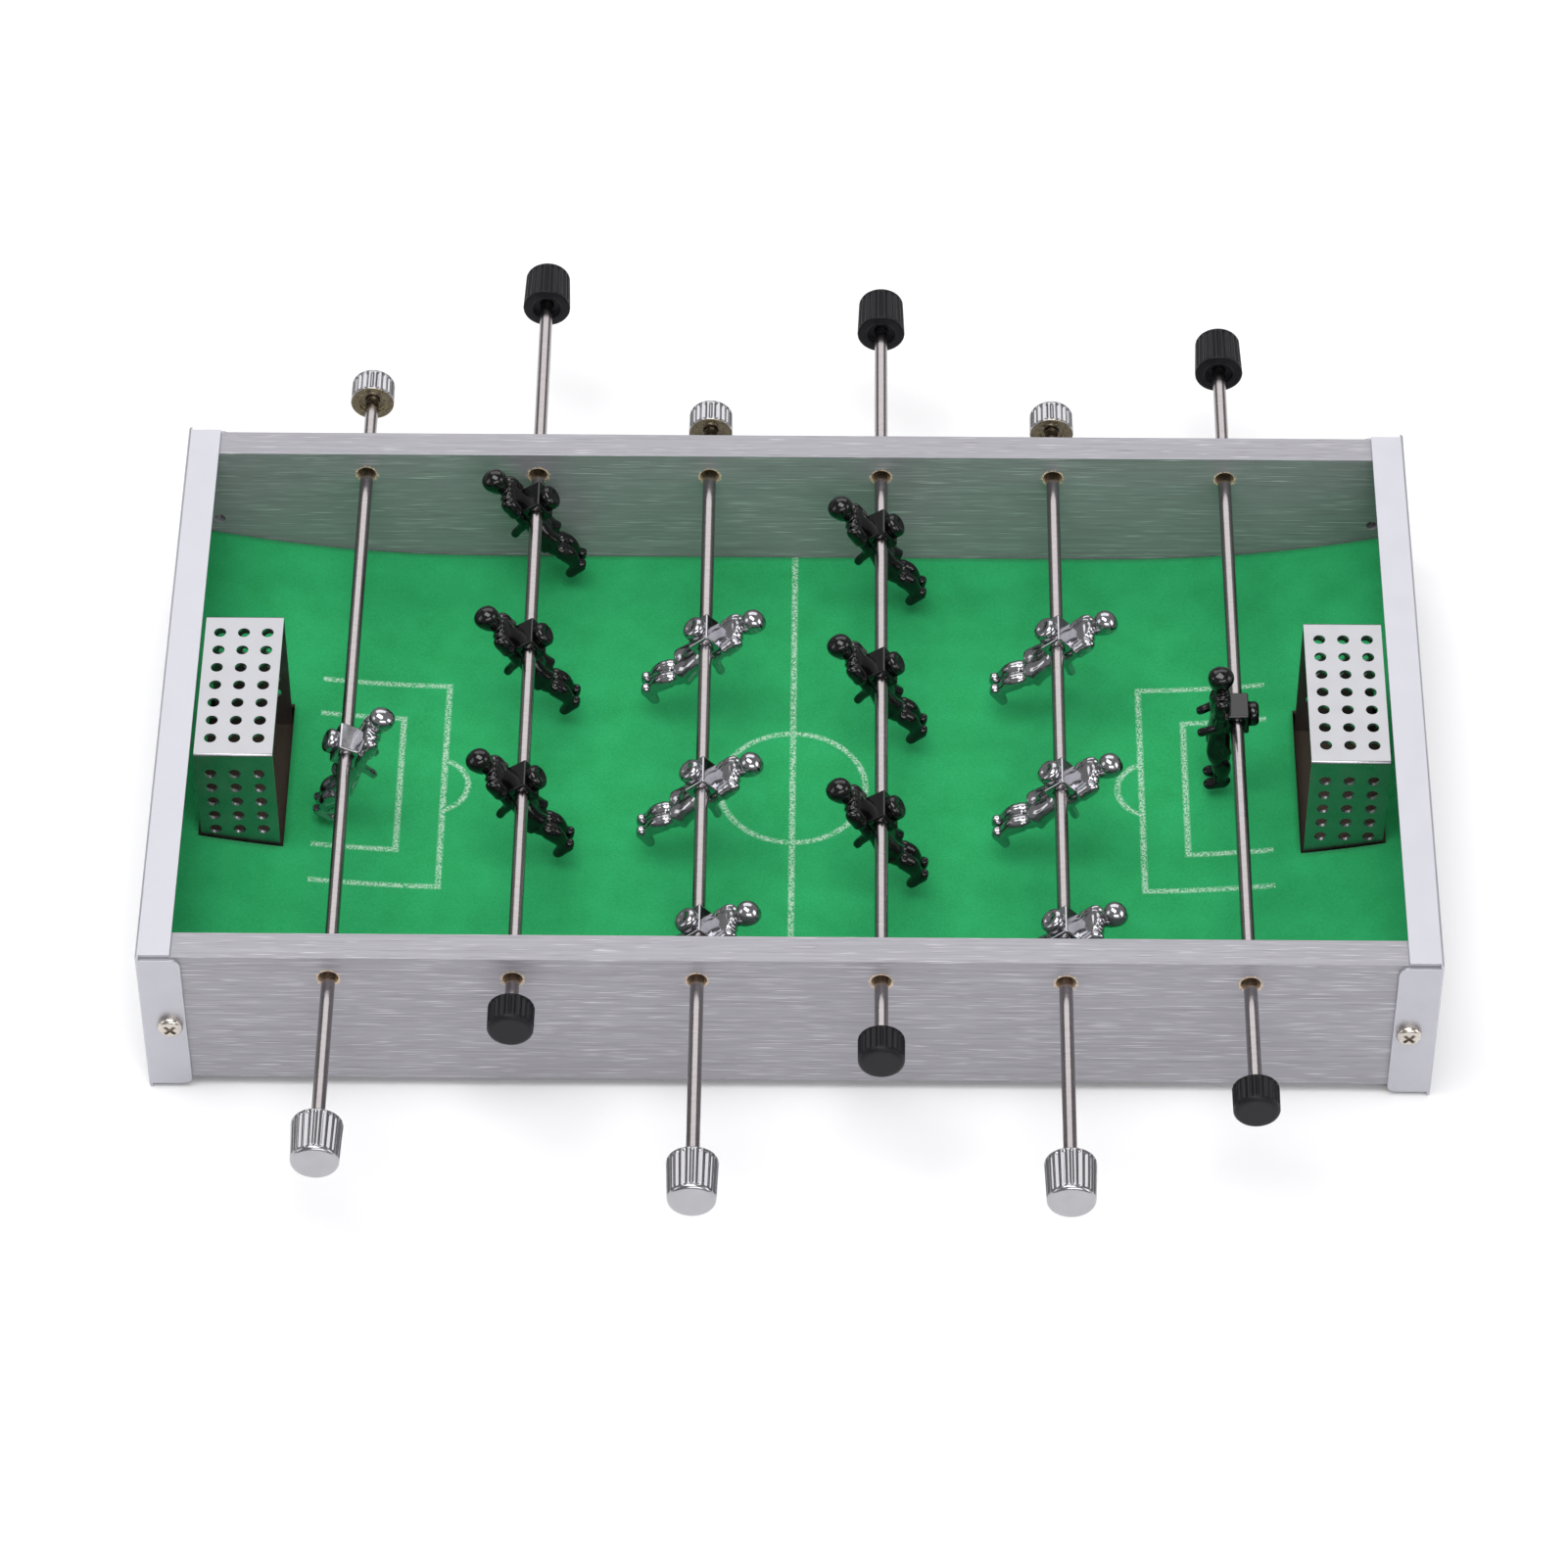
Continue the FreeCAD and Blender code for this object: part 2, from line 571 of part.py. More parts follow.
def make_clamp():
    """Square block round the bar, with a round boss behind it."""
    block = slab("Block", (0.1, 0, 0), (size("block_size"), size("block_width"), size("block_size")))
    bind(block, "Length", "[block_size]")
    bind(block, "Width", "[block_width]")
    bind(block, "Height", "[block_size]")
    back = 0.1 - size("block_size") / 2
    boss = limb("Boss", (back, 0, -0.2), (back - 2.4, 0, -0.2), 2.8, 2.0)
    return [block, boss]


def make_upper_body():
    """Head, neck, chest and arms, round the line that runs body_forward ahead of the bar."""
    ahead = size("body_forward")
    half = size("shoulder_width") / 2
    radius = size("head_radius")
    head_z = size("head_reach") - radius
    collar = half - 1.75
    shapes = [ball("Head", (ahead + 0.2, 0, head_z), radius),
              ball("Jaw", (ahead + 0.5, 0, head_z - 1.2), 0.8 * radius),
              limb("Neck", (ahead, 0, 5.5), (ahead + 0.2, 0, head_z), 1.6, 1.3),
              slab("Chest", (ahead + 0.3, 0, 3.0), (4.0, 5.8, 7.4)),
              limb("Shoulders", (ahead, -collar, 5.9), (ahead, collar, 5.9), 1.75, 1.75),
              limb("Belly", (ahead + 0.3, 0, 2.5), (ahead, 0, -4.2), 2.95, 2.6)]
    for side in (-1, 1):
        word = "R" if side > 0 else "L"
        shoulder = (ahead, side * collar, 5.9)
        elbow = (ahead - 0.1, side * (half - 1.2), 0.6)
        wrist = (ahead + 2.6, side * (half - 1.6), -1.4)
        tip = (ahead + 4.8, side * (half - 2.0), -2.6)
        shapes.append(ball("Cap" + word, shoulder, 1.9))
        shapes.append(limb("Sleeve" + word, shoulder, elbow, 1.45, 1.15))
        shapes.append(ball("Elbow" + word, elbow, 1.3))
        shapes.append(limb("Forearm" + word, elbow, wrist, 1.15, 0.9))
        shapes.append(ball("Wrist" + word, wrist, 1.0))
        shapes.append(limb("Hand" + word, wrist, tip, 0.85, 0.55))
    return shapes


def make_lower_body():
    """Wide shorts, bent knees, lower legs and a pair of shoes with the toes forward."""
    ahead = size("body_forward")
    sole = -size("sole_reach")
    shapes = [limb("Crotch", (ahead, 0, -3.0), (ahead + 0.3, 0, -8.6), 2.3, 2.5)]
    for side in (-1, 1):
        word = "R" if side > 0 else "L"
        hip = (ahead, side * 1.5, -3.6)
        hem = (ahead + 0.5, side * 2.0, -10.2)
        knee = (ahead + 0.7, side * 1.75, -11.6)
        calf = (ahead - 0.1, side * 1.75, -15.6)
        ankle = (ahead - 0.1, side * 1.7, sole + 1.3)
        heel = (ahead - 0.1, side * 1.75, sole + 1.45)
        toe = (ahead + 2.5, side * 1.75, sole + 1.2)
        shapes.append(ball("Hip" + word, hip, 2.4))
        shapes.append(limb("Shorts" + word, hip, hem, 2.15, 2.4))
        shapes.append(ball("Knee" + word, knee, 1.8))
        shapes.append(limb("Shin" + word, knee, calf, 1.5, 1.6))
        shapes.append(ball("Calf" + word, calf, 1.72))
        shapes.append(limb("Ankle" + word, calf, ankle, 1.6, 1.1))
        shapes.append(ball("Heel" + word, heel, 1.35))
        shapes.append(limb("Shoe" + word, heel, toe, 1.2, 0.95))
        shapes.append(ball("Toe" + word, toe, 1.05))
        shapes.append(slab("Sole" + word, (ahead + 1.2, side * 1.75, sole + 0.5), (2.8, 2.2, 1.0)))
    return shapes


def make_casting():
    """The man every row repeats, drawn upright round the bar's axis and facing +X."""
    fused = doc.addObject("Part::MultiFuse", "ManCast")
    fused.Shapes = make_clamp() + make_upper_body() + make_lower_body()
    bore = doc.addObject("Part::Cylinder", "ManBore")
    bind(bore, "Radius", "[rod_dia] / 2 + [running_gap]")
    bore.Height = 20.0
    bore.Placement = FreeCAD.Placement(FreeCAD.Vector(0, -10, 0), FreeCAD.Rotation(AXIS_X, -90))
    casting = doc.addObject("Part::Cut", "Man")
    casting.Base = fused
    casting.Tool = bore
    doc.recompute()
    return casting


def make_man(casting, label, i, y, facing, lean):
    """One clone of the casting, leaning about its bar's axis."""
    body = keep(new_body(label + "_body"), label)
    clone = body.newObject("PartDesign::FeatureBase", label + "_clone")
    clone.BaseFeature = casting
    body.Tip = clone
    turn = FreeCAD.Rotation(AXIS_Y, lean) * FreeCAD.Rotation(AXIS_Z, 0 if facing > 0 else 180)
    body.Placement = FreeCAD.Placement(FreeCAD.Vector(rod_x(i), y, size("rod_height")), turn)
    bind(body, "Placement.Base.x", rod_x_formula(i))
    bind(body, "Placement.Base.z", "[rod_height]")


def make_row(casting, i, label, team, men, shift, lean):
    """One rod with its men, its handle and its end knob. Silver is played from the front."""
    front = team == "silver"
    make_rod(label, i, shift, -1 if front else 1)
    make_grip("handle_%d" % (i + 1), i, shift, -1 if front else 1, "handle_length", "handle_dia", 0.35)
    make_grip("end_knob_%d" % (i + 1), i, shift, 1 if front else -1, "knob_length", "knob_dia", 0.05)
    for n in range(men):
        y = shift + (n - (men - 1) / 2) * size("man_spacing")
        name = "man_%d" % (i + 1) if men == 1 else "man_%d_%s" % (i + 1, "abc"[n])
        make_man(casting, name, i, y, 1 if front else -1, lean)


def check_and_write():
    doc.recompute()
    for thing in doc.Objects:
        if "Invalid" in thing.State or "Error" in thing.State:
            raise RuntimeError("%s is in state %s" % (thing.Name, thing.State))
    os.makedirs("parts", exist_ok=True)
    for part in sub_parts:
        if part.Shape.isNull() or not part.Shape.isValid():
            raise RuntimeError(part.Label + " has no valid shape")
        if part.Label != "cap_screws" and len(part.Shape.Solids) != 1:
            raise RuntimeError("%s has %d solids" % (part.Label, len(part.Shape.Solids)))
        part.Shape.exportStep("parts/%s.step" % part.Label)
        print("wrote", part.Label, "volume %.1f" % part.Shape.Volume)


make_base_board()
make_wall("front_wall", -1)
make_wall("back_wall", 1)
make_end_cap("right_end_cap", 0)
make_end_cap("left_end_cap", 180)
make_cap_screws()
make_pitch()
make_goal("right_goal", 0)
make_goal("left_goal", 180)
man_casting = make_casting()
for index, (label, team, men, shift, lean) in enumerate(RODS):
    make_row(man_casting, index, label, team, men, shift, lean)
check_and_write()
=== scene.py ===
import math
import bmesh
import bpy
import numpy as np
from mathutils import Matrix, Vector


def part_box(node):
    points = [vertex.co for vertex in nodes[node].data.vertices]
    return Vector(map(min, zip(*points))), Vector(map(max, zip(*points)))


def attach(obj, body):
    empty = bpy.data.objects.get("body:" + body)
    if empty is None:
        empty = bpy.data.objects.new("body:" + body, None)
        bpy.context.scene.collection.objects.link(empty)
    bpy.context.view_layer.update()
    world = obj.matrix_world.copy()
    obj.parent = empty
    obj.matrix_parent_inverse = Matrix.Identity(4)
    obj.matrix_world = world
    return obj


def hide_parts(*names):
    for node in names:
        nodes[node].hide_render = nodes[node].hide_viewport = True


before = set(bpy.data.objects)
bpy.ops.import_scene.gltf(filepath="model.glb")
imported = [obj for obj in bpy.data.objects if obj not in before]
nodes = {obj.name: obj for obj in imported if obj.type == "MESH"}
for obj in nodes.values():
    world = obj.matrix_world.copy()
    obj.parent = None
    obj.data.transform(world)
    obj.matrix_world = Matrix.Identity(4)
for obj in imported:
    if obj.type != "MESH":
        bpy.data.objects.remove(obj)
for startupThing in ("Cube", "Camera", "Light"):
    if startupThing in bpy.data.objects:
        bpy.data.objects.remove(bpy.data.objects[startupThing])
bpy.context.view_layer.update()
mm = 0.001
print("frame loaded with", len(nodes), "nodes")


# colours and shader nodes

def linear(code):
    # sRGB hex colour to the linear colour that a shader socket takes
    channels = [int(code[i:i + 2], 16) / 255 for i in (1, 3, 5)]
    return tuple(c / 12.92 if c <= 0.04045 else ((c + 0.055) / 1.055) ** 2.4 for c in channels) + (1.0,)


def addNode(tree, kind, inputs, **settings):
    # one shader node: settings are its own options, inputs are values, or nodes and sockets to link from
    node = tree.nodes.new("ShaderNode" + kind)
    for name, value in settings.items():
        setattr(node, name, value)
    for socket, value in inputs.items():
        if isinstance(value, bpy.types.Node):
            tree.links.new(value.outputs[0], node.inputs[socket])
        elif isinstance(value, bpy.types.NodeSocket):
            tree.links.new(value, node.inputs[socket])
        else:
            node.inputs[socket].default_value = value
    return node


def newMaterial(name, surfaceValues):
    # a material with one Principled shader; also gives its tree, the shader and Object coordinates in mm
    material = bpy.data.materials.new(name)
    material.use_nodes = True
    tree = material.node_tree
    tree.nodes.clear()
    surface = addNode(tree, "BsdfPrincipled", surfaceValues)
    addNode(tree, "OutputMaterial", {"Surface": surface})
    place = addNode(tree, "TexCoord", {}).outputs["Object"]
    placeMm = addNode(tree, "VectorMath", {0: place, "Scale": 1000.0}, operation="SCALE")
    return material, tree, surface, placeMm


def grain(tree, placeMm, size, detail=2.0):
    # noise whose grains are size = (x, y, z) mm across
    stretched = addNode(tree, "Mapping", {"Vector": placeMm, "Scale": tuple(1 / s for s in size)})
    return addNode(tree, "TexNoise", {"Vector": stretched, "Scale": 1.0, "Detail": detail})


def addSteps(tree, known, steps):
    # shader nodes in turn, each (name, kind, operation, values); a value in words is an earlier step's name
    for name, kind, operation, *values in steps:
        given = [known[value] if isinstance(value, str) else value for value in values]
        known[name] = addNode(tree, kind, dict(enumerate(given)), operation=operation)
    return known


# one dictionary of values for each material

laminateLook = {
    "dark": "#918f95", "light": "#9e9ca3", "dash": "#d6d5db", "scratch": "#77757b",
    "rawBoard": "#ecd9bd", "rawBoardDark": "#b8946a",
    "streak": (45.0, 0.55, 0.55),    # mm, brushing marks along the wall
    "dashSize": (9.0, 0.17, 0.17),   # mm, short bright scratches
    "dashFrom": 0.7, "dashTo": 0.82, "dashShare": 0.85,
    "scratchFrom": 0.3, "scratchTo": 0.24, "scratchShare": 0.6,
    "fibre": (0.5, 0.5, 0.5),        # mm, fibres of the raw board
    "rodPitch": 39.8, "holeHeight": 36.4,
    "rimRadius": 1.0, "rimRagged": 3.0,  # raw board shows out to rimRadius + rimRagged * noise
    "sheen": 0.3, "rough": 0.42, "rawRougher": 0.45, "relief": 0.14, "reliefDeep": 0.06,
}


def brushedLaminate():
    # fibreboard faced with brushed silver film: soft sheen, fine streaks along X, raw tan board in the holes
    look = laminateLook
    material, tree, surface, placeMm = newMaterial("BrushedSilverLaminate", {})
    streaks = grain(tree, placeMm, look["streak"], 4.0)
    dashes = grain(tree, placeMm, look["dashSize"], 0.0)
    tone = addNode(tree, "MapRange", {"Value": streaks, "From Min": 0.3, "From Max": 0.7})
    dashMask = addNode(tree, "MapRange", {"Value": dashes, "From Min": look["dashFrom"],
                                          "From Max": look["dashTo"], "To Max": look["dashShare"]})
    scratchMask = addNode(tree, "MapRange", {"Value": dashes, "From Min": look["scratchFrom"],
                                             "From Max": look["scratchTo"], "To Max": look["scratchShare"]})
    film = addNode(tree, "MixRGB", {"Fac": tone, "Color1": linear(look["dark"]),
                                    "Color2": linear(look["light"])})
    marked = addNode(tree, "MixRGB", {"Fac": dashMask, "Color1": film, "Color2": linear(look["dash"])})
    marked = addNode(tree, "MixRGB", {"Fac": scratchMask, "Color1": marked,
                                      "Color2": linear(look["scratch"])})
    fibres = grain(tree, placeMm, look["fibre"], 3.0)
    board = addNode(tree, "MixRGB", {"Fac": fibres, "Color1": linear(look["rawBoardDark"]),
                                     "Color2": linear(look["rawBoard"])})
    xyz = addNode(tree, "SeparateXYZ", {0: placeMm})
    pitch = look["rodPitch"]
    known = addSteps(tree, {"x": xyz.outputs[0], "z": xyz.outputs[2], "fibres": fibres}, [
        # distance from the nearest rod hole's axis, with a ragged rim
        ("fromMiddle", "Math", "SUBTRACT", "x", pitch / 2),
        ("turns", "Math", "DIVIDE", "fromMiddle", pitch),
        ("whole", "Math", "ROUND", "turns"),
        ("part", "Math", "SUBTRACT", "turns", "whole"),
        ("across", "Math", "MULTIPLY", "part", pitch),
        ("up", "Math", "SUBTRACT", "z", look["holeHeight"]),
        ("acrossSquared", "Math", "MULTIPLY", "across", "across"),
        ("squares", "Math", "MULTIPLY_ADD", "up", "up", "acrossSquared"),
        ("radius", "Math", "SQRT", "squares"),
        ("rim", "Math", "MULTIPLY_ADD", "fibres", look["rimRagged"], look["rimRadius"]),
        ("raw", "Math", "LESS_THAN", "radius", "rim"),
        ("sheen", "Math", "MULTIPLY_ADD", "raw", -look["sheen"], look["sheen"]),
        ("rough", "Math", "MULTIPLY_ADD", "raw", look["rawRougher"], look["rough"]),
    ])
    colour = addNode(tree, "MixRGB", {"Fac": known["raw"], "Color1": marked, "Color2": board})
    height = addNode(tree, "Math", {0: streaks, 1: dashes}, operation="ADD")
    bump = addNode(tree, "Bump", {"Height": height, "Strength": look["relief"],
                                  "Distance": look["reliefDeep"] * mm})
    tree.links.new(colour.outputs[0], surface.inputs["Base Color"])
    tree.links.new(known["sheen"].outputs[0], surface.inputs["Metallic"])
    tree.links.new(known["rough"].outputs[0], surface.inputs["Roughness"])
    tree.links.new(bump.outputs[0], surface.inputs["Normal"])
    return material


def mottledMaterial(name, look):
    # one finish whose colour and gloss drift a little, with a bump look["height"] mm deep
    material, tree, surface, placeMm = newMaterial(name, look["surface"])
    drift = grain(tree, placeMm, look["grain"], look.get("detail", 3.0))
    colour = addNode(tree, "MixRGB", {"Fac": drift, "Color1": linear(look["dark"]),
                                      "Color2": linear(look["light"])})
    gloss = addNode(tree, "MapRange", {"Value": drift, "From Min": 0.3, "From Max": 0.7,
                                       "To Min": look["roughness"][0], "To Max": look["roughness"][1]})
    fine = grain(tree, placeMm, look.get("fine", look["grain"]), 2.0)
    bump = addNode(tree, "Bump", {"Height": fine, "Strength": 0.4, "Distance": look["height"] * mm})
    tree.links.new(colour.outputs[0], surface.inputs["Base Color"])
    tree.links.new(gloss.outputs[0], surface.inputs["Roughness"])
    tree.links.new(bump.outputs[0], surface.inputs["Normal"])
    return material


finishes = {
    # folded aluminium sheet, satin anodised: even soft highlight with a faint cloudiness
    "SatinAnodisedSheet": {"dark": "#b0afb6", "light": "#bfbfc6", "grain": (6, 6, 6),
                           "fine": (0.25, 0.25, 0.25), "roughness": (0.34, 0.44), "height": 0.01,
                           "surface": {"Metallic": 0.75}},
    # punched bright steel sheet: nearly a mirror, with slightly wavy gloss
    "BrightPunchedSheet": {"dark": "#9d9da1", "light": "#adadb1", "grain": (5, 5, 5),
                           "roughness": (0.27, 0.38), "height": 0.012, "surface": {"Metallic": 1.0}},
    # drawn steel bar, polished round its axis: thin rings of lighter and darker grey
    "PolishedDrawnSteel": {"dark": "#8a8384", "light": "#a8a3a4", "grain": (2.0, 0.5, 2.0),
                           "fine": (3, 0.25, 3), "roughness": (0.16, 0.26), "height": 0.004,
                           "surface": {"Metallic": 1.0}},
    # nickel-plated machine screw: warm bright metal with small marks from the driver
    "NickelPlatedSteel": {"dark": "#b3aba2", "light": "#d9d3cc", "grain": (0.8, 0.8, 0.8),
                          "roughness": (0.18, 0.32), "height": 0.01, "surface": {"Metallic": 1.0}},
    # chromium plate on a zinc casting: hard bright and dark reflections, a little orange peel
    "ChromePlatedCasting": {"dark": "#97969a", "light": "#bcbbc0", "grain": (2, 2, 2),
                            "fine": (1.5, 1.5, 1.5), "roughness": (0.1, 0.17), "height": 0.01,
                            "surface": {"Metallic": 1.0}},
    # black enamelled casting: deep black with sharp small highlights
    "BlackEnamelledCasting": {"dark": "#040405", "light": "#0a090b", "grain": (2, 2, 2),
                              "fine": (1.5, 1.5, 1.5), "roughness": (0.07, 0.15), "height": 0.01,
                              "surface": {"IOR": 1.5}},
    # satin chromium on a moulded grip: softer than the figures, faintly warm
    "SatinChromeGrip": {"dark": "#a09fa3", "light": "#b2b1b5", "grain": (4, 4, 4), "fine": (1.0, 1.0, 1.0),
                        "roughness": (0.16, 0.24), "height": 0.004, "surface": {"Metallic": 1.0}},
    # thin plating worn to brass inside the grip's hollow: warm yellow metal
    "WornBrassPlating": {"dark": "#8d8264", "light": "#c6bd9f", "grain": (0.8, 0.8, 0.8),
                         "roughness": (0.22, 0.38), "height": 0.015, "surface": {"Metallic": 1.0}},
    # black ABS moulded with a fine spark-eroded texture: dull, grey only where light grazes it
    "MattBlackMouldedAbs": {"dark": "#0b0b0f", "light": "#151419", "grain": (1.2, 1.2, 1.2),
                            "fine": (0.3, 0.3, 0.3), "roughness": (0.36, 0.48), "height": 0.02,
                            "surface": {"IOR": 1.5, "Specular IOR Level": 0.22}},
    # sawn medium-density fibreboard: brown, with short pale and dark fibres, and darkened with painted shade
    # far below the tan of the raw board in the wall holes, for the slot rims, the pitch's underside and the
    # base board, which sit in shadow
    "SawnFibreboardPaintedShade": {"dark": "#2b241d", "light": "#4d4033", "grain": (0.6, 0.6, 0.6), "detail": 5.0,
                       "roughness": (0.78, 0.92), "height": 0.08, "surface": {"IOR": 1.5}},
}
materials = {name: mottledMaterial(name, look) for name, look in finishes.items()}
materials["BrushedSilverLaminate"] = brushedLaminate()

turfLook = {
    "shade": "#209050", "green": "#2da766", "line": "#b9d8c3",
    "tuft": 0.45, "patch": 9.0,     # mm; flock is finer than this, drawn as coarse as it needs to show
    "tuftShare": 0.58, "patchShare": 0.42, "pile": 0.12,
    "sheen": "#7fc79b",
    "lineHalf": 0.68, "softInside": 0.3, "softOutside": 0.2,
    "speckle": 0.4, "thinInk": 0.05, "thickInk": 0.85,
    "circle": 16.6, "outerX": 79.3, "outerY": 30.6, "innerX": 89.3, "innerY": 20.0,
    "lineEnd": 108.3, "arcX": 81.8, "arcRadius": 8.0,
    "hidden": 100.0,                # mm, added to a distance where a line isn't printed
}


def flockedTurf():
    # green flock on board with white screen-printed lines: no gloss, soft edge sheen, broken line edges
    look = turfLook
    material, tree, surface, placeMm = newMaterial(
        "FlockedTurf", {"Roughness": 0.92, "IOR": 1.45, "Specular IOR Level": 0.2, "Sheen Weight": 0.25,
                        "Sheen Roughness": 0.5, "Sheen Tint": linear(look["sheen"])})
    tufts = grain(tree, placeMm, (look["tuft"],) * 3, 3.0)
    patches = grain(tree, placeMm, (look["patch"],) * 3, 2.0)
    xyz = addNode(tree, "SeparateXYZ", {0: placeMm})
    known = addSteps(tree, {"x": xyz.outputs[0], "y": xyz.outputs[1], "tufts": tufts, "patches": patches}, [
        # distance to each printed line in mm, and the nearest of them
        ("ax", "Math", "ABSOLUTE", "x"),
        ("ay", "Math", "ABSOLUTE", "y"),
        ("yy", "Math", "MULTIPLY", "y", "y"),
        ("rr", "Math", "MULTIPLY_ADD", "x", "x", "yy"),
        ("r", "Math", "SQRT", "rr"),
        ("ringSide", "Math", "SUBTRACT", "r", look["circle"]),
        ("ring", "Math", "ABSOLUTE", "ringSide"),
        ("outerAcross", "Math", "SUBTRACT", look["outerX"], "ax"),
        ("outerAlong", "Math", "SUBTRACT", "ay", look["outerY"]),
        ("outerSide", "Math", "MAXIMUM", "outerAcross", "outerAlong"),
        ("outer", "Math", "ABSOLUTE", "outerSide"),
        ("innerAcross", "Math", "SUBTRACT", look["innerX"], "ax"),
        ("innerAlong", "Math", "SUBTRACT", "ay", look["innerY"]),
        ("innerSide", "Math", "MAXIMUM", "innerAcross", "innerAlong"),
        ("inner", "Math", "ABSOLUTE", "innerSide"),
        ("boxes", "Math", "MINIMUM", "outer", "inner"),
        ("pastEnd", "Math", "GREATER_THAN", "ax", look["lineEnd"]),
        ("boxLines", "Math", "MULTIPLY_ADD", "pastEnd", look["hidden"], "boxes"),
        ("arcAcross", "Math", "SUBTRACT", "ax", look["arcX"]),
        ("arcSquares", "Math", "MULTIPLY_ADD", "arcAcross", "arcAcross", "yy"),
        ("arcR", "Math", "SQRT", "arcSquares"),
        ("arcSide", "Math", "SUBTRACT", "arcR", look["arcRadius"]),
        ("arc", "Math", "ABSOLUTE", "arcSide"),
        ("inBox", "Math", "GREATER_THAN", "ax", look["outerX"]),
        ("arcLine", "Math", "MULTIPLY_ADD", "inBox", look["hidden"], "arc"),
        ("halfwayOrRing", "Math", "MINIMUM", "ax", "ring"),
        ("boxOrArc", "Math", "MINIMUM", "boxLines", "arcLine"),
        ("nearest", "Math", "MINIMUM", "halfwayOrRing", "boxOrArc"),
        ("shade", "Math", "MULTIPLY", "patches", look["patchShare"]),
        ("tone", "Math", "MULTIPLY_ADD", "tufts", look["tuftShare"], "shade"),
    ])
    tone = addNode(tree, "MapRange", {"Value": known["tone"], "From Min": 0.3, "From Max": 0.7})
    pile = addNode(tree, "MixRGB", {"Fac": tone, "Color1": linear(look["shade"]),
                                    "Color2": linear(look["green"])})
    edge = addNode(tree, "MapRange", {"Value": known["nearest"],
                                      "From Min": look["lineHalf"] - look["softInside"],
                                      "From Max": look["lineHalf"] + look["softOutside"],
                                      "To Min": 1.0, "To Max": 0.0})
    speckle = grain(tree, placeMm, (look["speckle"],) * 3, 1.0)
    ink = addNode(tree, "MapRange", {"Value": speckle, "From Min": 0.4, "From Max": 0.58,
                                     "To Min": look["thinInk"], "To Max": look["thickInk"]})
    printed = addNode(tree, "Math", {0: edge, 1: ink}, operation="MULTIPLY")
    colour = addNode(tree, "MixRGB", {"Fac": printed, "Color1": pile, "Color2": linear(look["line"])})
    bump = addNode(tree, "Bump", {"Height": tufts, "Strength": 0.55, "Distance": look["pile"] * mm})
    tree.links.new(colour.outputs[0], surface.inputs["Base Color"])
    tree.links.new(bump.outputs[0], surface.inputs["Normal"])
    return material


materials["FlockedTurf"] = flockedTurf()
print("materials made:", len(materials))


# shapes as arrays of points and faces, in millimetres

def throughPoints(rows, steps):
    # smooth curve through the rows (Catmull-Rom): each row's slope is half the step between its neighbours
    p = np.array(rows, float)
    p = np.vstack([2 * p[0] - p[1], p, 2 * p[-1] - p[-2]])
    t = np.linspace(0, len(p) - 3 - 1e-9, steps)
    i = t.astype(int)
    f = (t - i)[:, None]
    a, b, c, d = p[i], p[i + 1], p[i + 2], p[i + 3]
    return 0.5 * (2 * b + (c - a) * f + (2 * a - 5 * b + 4 * c - d) * f ** 2
                  + (3 * b - a - 3 * c + d) * f ** 3)


def gridFaces(rows, columns, wrapRows=False):
    # quads of a grid whose last column joins its first, and its last row too if wrapRows
    i = np.arange(rows if wrapRows else rows - 1)[:, None]
    j = np.arange(columns)[None, :]
    below, beside = (i + 1) % rows, (j + 1) % columns
    corners = (i * columns + j, i * columns + beside, below * columns + beside, below * columns + j)
    return np.stack(corners, -1).reshape(-1, 4)


def superCircle(around, power):
    # cosine and sine raised to 2 / power, sign kept: 2 is round, and a higher power is squarer
    u = np.linspace(0, 2 * math.pi, around, endpoint=False)
    c, s = np.cos(u), np.sin(u)
    return np.sign(c) * np.abs(c) ** (2 / power), np.sign(s) * np.abs(s) ** (2 / power)


def loft(rows, steps=40, around=28, power=2.0, relief=None):
    # closed tube through rows of (x, y, z, half across, half deep) mm: a point is
    # centre + side * half across * cos + front * half deep * sin, with both ends drawn in to a point
    s = throughPoints(rows, steps)
    centre = s[:, :3]
    run = np.gradient(centre, axis=0)
    run /= np.linalg.norm(run, axis=1)[:, None]
    front = np.cross(run, (0.0, 1.0, 0.0))
    front /= np.linalg.norm(front, axis=1)[:, None]
    side = np.cross(front, run)
    c, d = superCircle(around, power)
    across, deep = np.maximum(s[:, 3], 0.02)[:, None], np.maximum(s[:, 4], 0.02)[:, None]
    if relief:
        turn = np.linspace(0, 2 * math.pi, around, endpoint=False)
        swell = relief(np.linspace(0, 1, steps)[:, None], turn[None, :])
        across, deep = across * swell, deep * swell
    ring = centre[:, None] + side[:, None] * (across * c)[..., None] + front[:, None] * (deep * d)[..., None]
    start, end = np.repeat(centre[:1, None], around, 1), np.repeat(centre[-1:, None], around, 1)
    ring = np.concatenate([start, ring, end])
    return ring.reshape(-1, 3), gridFaces(steps + 2, around)


def joined(shapes):
    # several (points, faces) as one
    points, faces, count = [], [], 0
    for shapePoints, shapeFaces in shapes:
        points.append(shapePoints)
        faces.append(shapeFaces + count)
        count += len(shapePoints)
    return np.concatenate(points), np.concatenate(faces)


def cleaned(mesh, distance):
    # merges doubles, drops what collapsed at the poles, then turns every face outwards
    work = bmesh.new()
    work.from_mesh(mesh)
    bmesh.ops.remove_doubles(work, verts=work.verts, dist=distance)
    bmesh.ops.dissolve_degenerate(work, edges=work.edges, dist=distance / 2)
    bmesh.ops.recalc_face_normals(work, faces=work.faces)
    work.to_mesh(mesh)
    work.free()


